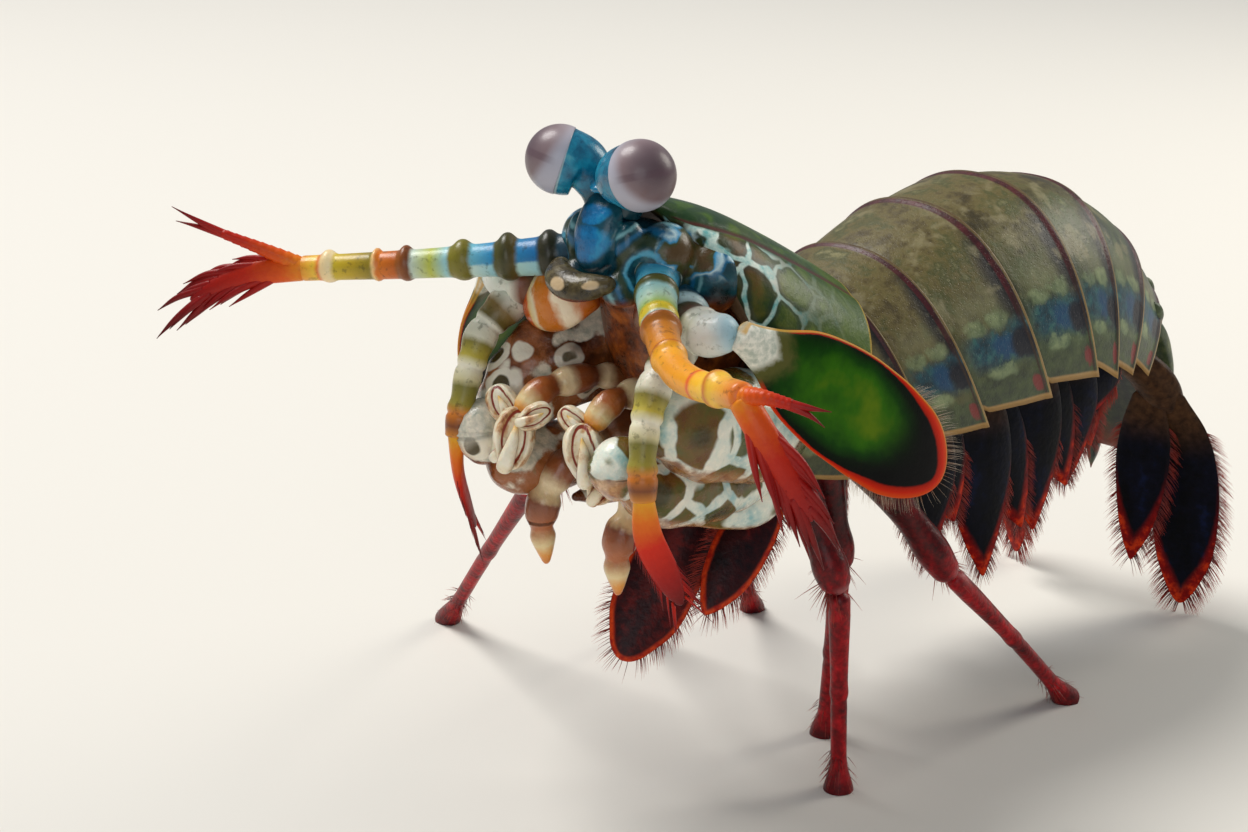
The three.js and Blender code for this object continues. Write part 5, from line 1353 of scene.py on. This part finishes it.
swimSurface = finLook("swimmeret", tint(8, 11, 24), tint(16, 26, 54), 1.3)
fanSurface = finLook("fan", tint(8, 11, 26), tint(16, 28, 62), 1.8)
for k in range(5):
    for seed, (name, side) in enumerate(bothSides):
        station = stationAt(k + 3, k + 4, 0.75)
        back, ahead, rise = stationAxes(station)
        root = back + (6.4 - station[4]) * rise + 2.04 * ahead + (7.4 * side, 0, 0)
        hang = unit((0.12 * side, -0.2 if k > 3 else 0.1, -1))
        facing = unit((0.9 * side, -0.42, 0))
        across = unit(np.cross(facing, hang)) * side
        stalk = sweep([root, root + 2.2 * hang, root + 4.6 * hang], (2.6, 2.9, 2.2), (1.9, 2.0, 1.4), facing,
                      around=32, steps=24, ends=(0.6, 1.2))
        skins, hairs = [stalk.mark(rim=2.0, run=stalk.marks["run"] * 0.1)], []
        for j, (offset, turn, share) in enumerate(swimmerets["flaps"]):
            start = root + 3.4 * hang + offset * facing
            length = swimmerets["length"][k] * share - 3.4
            along = unit(hang + turn * across)
            path = [start, start + 0.5 * length * along + 0.6 * facing,
                    start + length * unit(along + (0, 0.05, -0.1))]
            flap = leaf(path, swimmerets["wide"], swimmerets["thick"], facing, around=44, arch=0.12,
                        ends=(1.0, 2.0))
            skins.append(flap)
            flapSeed = 100 + 10 * k + 2 * j + seed
            hairs.append(rimHairs(flap, swimmerets["hairs"], 1.7, 0.3, flapSeed, 0.5, radius=0.045, fan=1.6))
        piece(f"swimmeret_{k + 1}_flaps_{name}", skins, [swimSurface], "gill", f"swimmeret_{k + 1}_{name}")
        piece(f"swimmeret_{k + 1}_hair_{name}", hairs, [redHair], "gill")
print("swimmerets")

fan = {
    "telson": [(0, 87.2, 41.6), (0, 90.4, 38.2), (0, 93.6, 29.6), (0, 94.6, 20)],
    "telsonWide": (9, 9.8, 9.9, 9.2, 7.6, 4.6), "telsonThick": (2, 1.8, 1.5, 1.2, 1, 0.6),
    "telsonFacing": (0, 0.9, 0.42),
    "spines": ((2.6, 94.5, 20.4, 4.2), (5.8, 94.1, 23, 4), (8.6, 93, 28.2, 3.2)),  # place and length
    "keels": (-5, 0, 5),
    "stalk": [(8, 83.6, 37), (10.4, 86.8, 33.4), (11.8, 89.4, 28.6)],
    "outer": [(12, 87.6, 32), (13.4, 90.4, 22), (13.6, 92.4, 11), (13.2, 93.2, 1.4)],
    "outerWide": (2, 4, 4.6, 4.4, 3.5, 1.2),
    "inner": [(10, 86.6, 32), (9.4, 87.6, 23), (9, 87.8, 14), (8.8, 87.4, 8)],
    "innerWide": (1.8, 3, 3.5, 3.1, 2.2, 0.6),
    "prong": [(11, 88.4, 30), (11.6, 90, 24), (12, 91.4, 18.6)],
    "facing": (-0.3, 0.9, 0.3),
}


def telsonLook():
    look = Look("telson", roughness=0.34, coat=0.35)
    run, side, fine = look.mark("run"), look.mark("side"), look.noise(0.8, 4, 0.6)
    colour = look.ramp(look.noise(0.25, 3) * 0.5 + fine * 0.5, [
        (0.34, tint(20, 30, 24)), (0.5, tint(50, 66, 38)), (0.66, tint(96, 104, 64))])
    colour = look.blend(colour, tint(14, 22, 46), look.blob(side, run, (0.0, 0.5), (0.75, 0.24), 0.8) * 0.5)
    colour = look.blend(colour, tint(150, 40, 22), look.step(run, 0.8, 0.98) * 0.6)
    return look.finish(colour, 0.28 + fine * 0.24, look.noise(1.4, 4), relief=0.2)


telsonSurface = telsonLook()
plate = sweep(fan["telson"], fan["telsonWide"], fan["telsonThick"], fan["telsonFacing"], around=72, steps=70,
              power=2.6, ends=(0.8, 1.4))
skins = [plate]
for x in fan["keels"]:
    keel = sweep([(x, 88.6, 42), (x, 92.4, 37), (x * 0.94, 95, 29), (x * 0.8, 95.4, 23)], (0.5, 1.0, 1.0, 0.8, 0.3),
                 (0.6, 1.1, 1.2, 1.0, 0.4), fan["telsonFacing"], around=18, steps=40, ends=(0.8, 0.8))
    skins.append(keel)
for x, y, z, length in fan["spines"]:
    for _, side in bothSides:
        path = [(x * side * 0.9, y, z + 2), (x * side, y, z - 0.4 * length), (x * side * 1.08, y + 0.2, z - length)]
        skins.append(sweep(path, (0.6, 1.0, 0.7, 0.06), around=16, steps=24))
piece("telson_plate", skins, [telsonSurface], "shell", "telson")
for seed, (name, side) in enumerate(bothSides):
    facing = (fan["facing"][0] * side, *fan["facing"][1:])
    stalk = sweep(mirrored(fan["stalk"], side), (2.2, 2.6, 2.8, 2.2), (1.6, 1.8, 1.8, 1.4), facing, around=36,
                  steps=36, ends=(0.8, 1.2))
    outer = leaf(mirrored(fan["outer"], side), fan["outerWide"], (0.8, 0.7, 0.55, 0.45, 0.3), facing, steps=70,
                 arch=0.1)
    inner = leaf(mirrored(fan["inner"], side), fan["innerWide"], (0.7, 0.6, 0.5, 0.4, 0.3), facing, steps=60,
                 arch=0.1)
    prong = sweep(mirrored(fan["prong"], side), (0.9, 1.1, 0.8, 0.08), around=18, steps=30)
    for extra in (stalk, prong):
        extra.mark(rim=2.0, run=extra.marks["run"] * 0.2)
    piece(f"tail_fan_{name}", [stalk, outer, inner, prong], [fanSurface], "gill", f"uropod_{name}")
    hairs = [rimHairs(outer, 700, 2.6, 0.25, seed + 61, 0.2, radius=0.055, fan=0.7),
             rimHairs(inner, 360, 2.2, 0.25, seed + 71, 0.2, radius=0.05, fan=0.7)]
    piece(f"tail_hair_{name}", hairs, [redHair], "gill")
print("tail fan")

# Floor and lights

studio = {
    "floor": tint(226, 222, 214),
    "floorRadius": 4.0,  # m
    "world": tint(214, 222, 230),
    "worldStrength": 0.34,
    # place in m, size in m, power in W, colour
    "lights": [((-0.78, -0.17, 1.35), 0.85, 23.0, (1.0, 0.98, 0.95)),
               ((0.5, -0.55, 0.3), 0.5, 1.1, (0.95, 0.98, 1.0)), ((0.2, 0.55, 0.35), 0.35, 1.8, (1.0, 0.95, 0.85))],
    "aim": (0, 0, 0.03),
}


def floorLook():
    look = Look("floor", roughness=0.85)
    cloud = look.add("ShaderNodeTexNoise", {}, {"Scale": 6.0})
    return look.finish(look.ramp(cloud, [(0.35, tuple(0.97 * c for c in studio["floor"])),
                                         (0.65, studio["floor"])]))


floorMesh = bpy.data.meshes.new("floor")
angle = np.linspace(0, 2 * math.pi, 96, endpoint=False)
rim = studio["floorRadius"] * np.stack((np.cos(angle), np.sin(angle), 0 * angle), -1)
floorMesh.from_pydata(rim.tolist(), [], [list(range(96))])
floorMesh.materials.append(floorLook())
floor = bpy.data.objects.new("floor", floorMesh)
scene.collection.objects.link(floor)

scene.world = bpy.data.worlds.new("studio")
scene.world.use_nodes = True
sky = scene.world.node_tree.nodes["Background"]
sky.inputs["Color"].default_value = (*studio["world"], 1)
sky.inputs["Strength"].default_value = studio["worldStrength"]
for k, (place, size, power, colour) in enumerate(studio["lights"]):
    lamp = bpy.data.objects.new(f"softLight{k}", bpy.data.lights.new(f"softLight{k}", "AREA"))
    scene.collection.objects.link(lamp)
    lamp.data.shape = "DISK"
    lamp.data.size = size
    lamp.data.energy = power
    lamp.data.color = colour
    lamp.location = place
    lamp.rotation_euler = (Vector(studio["aim"]) - Vector(place)).to_track_quat("-Z", "Y").to_euler()
scene.view_settings.view_transform = "Standard"
print("floor and lights")
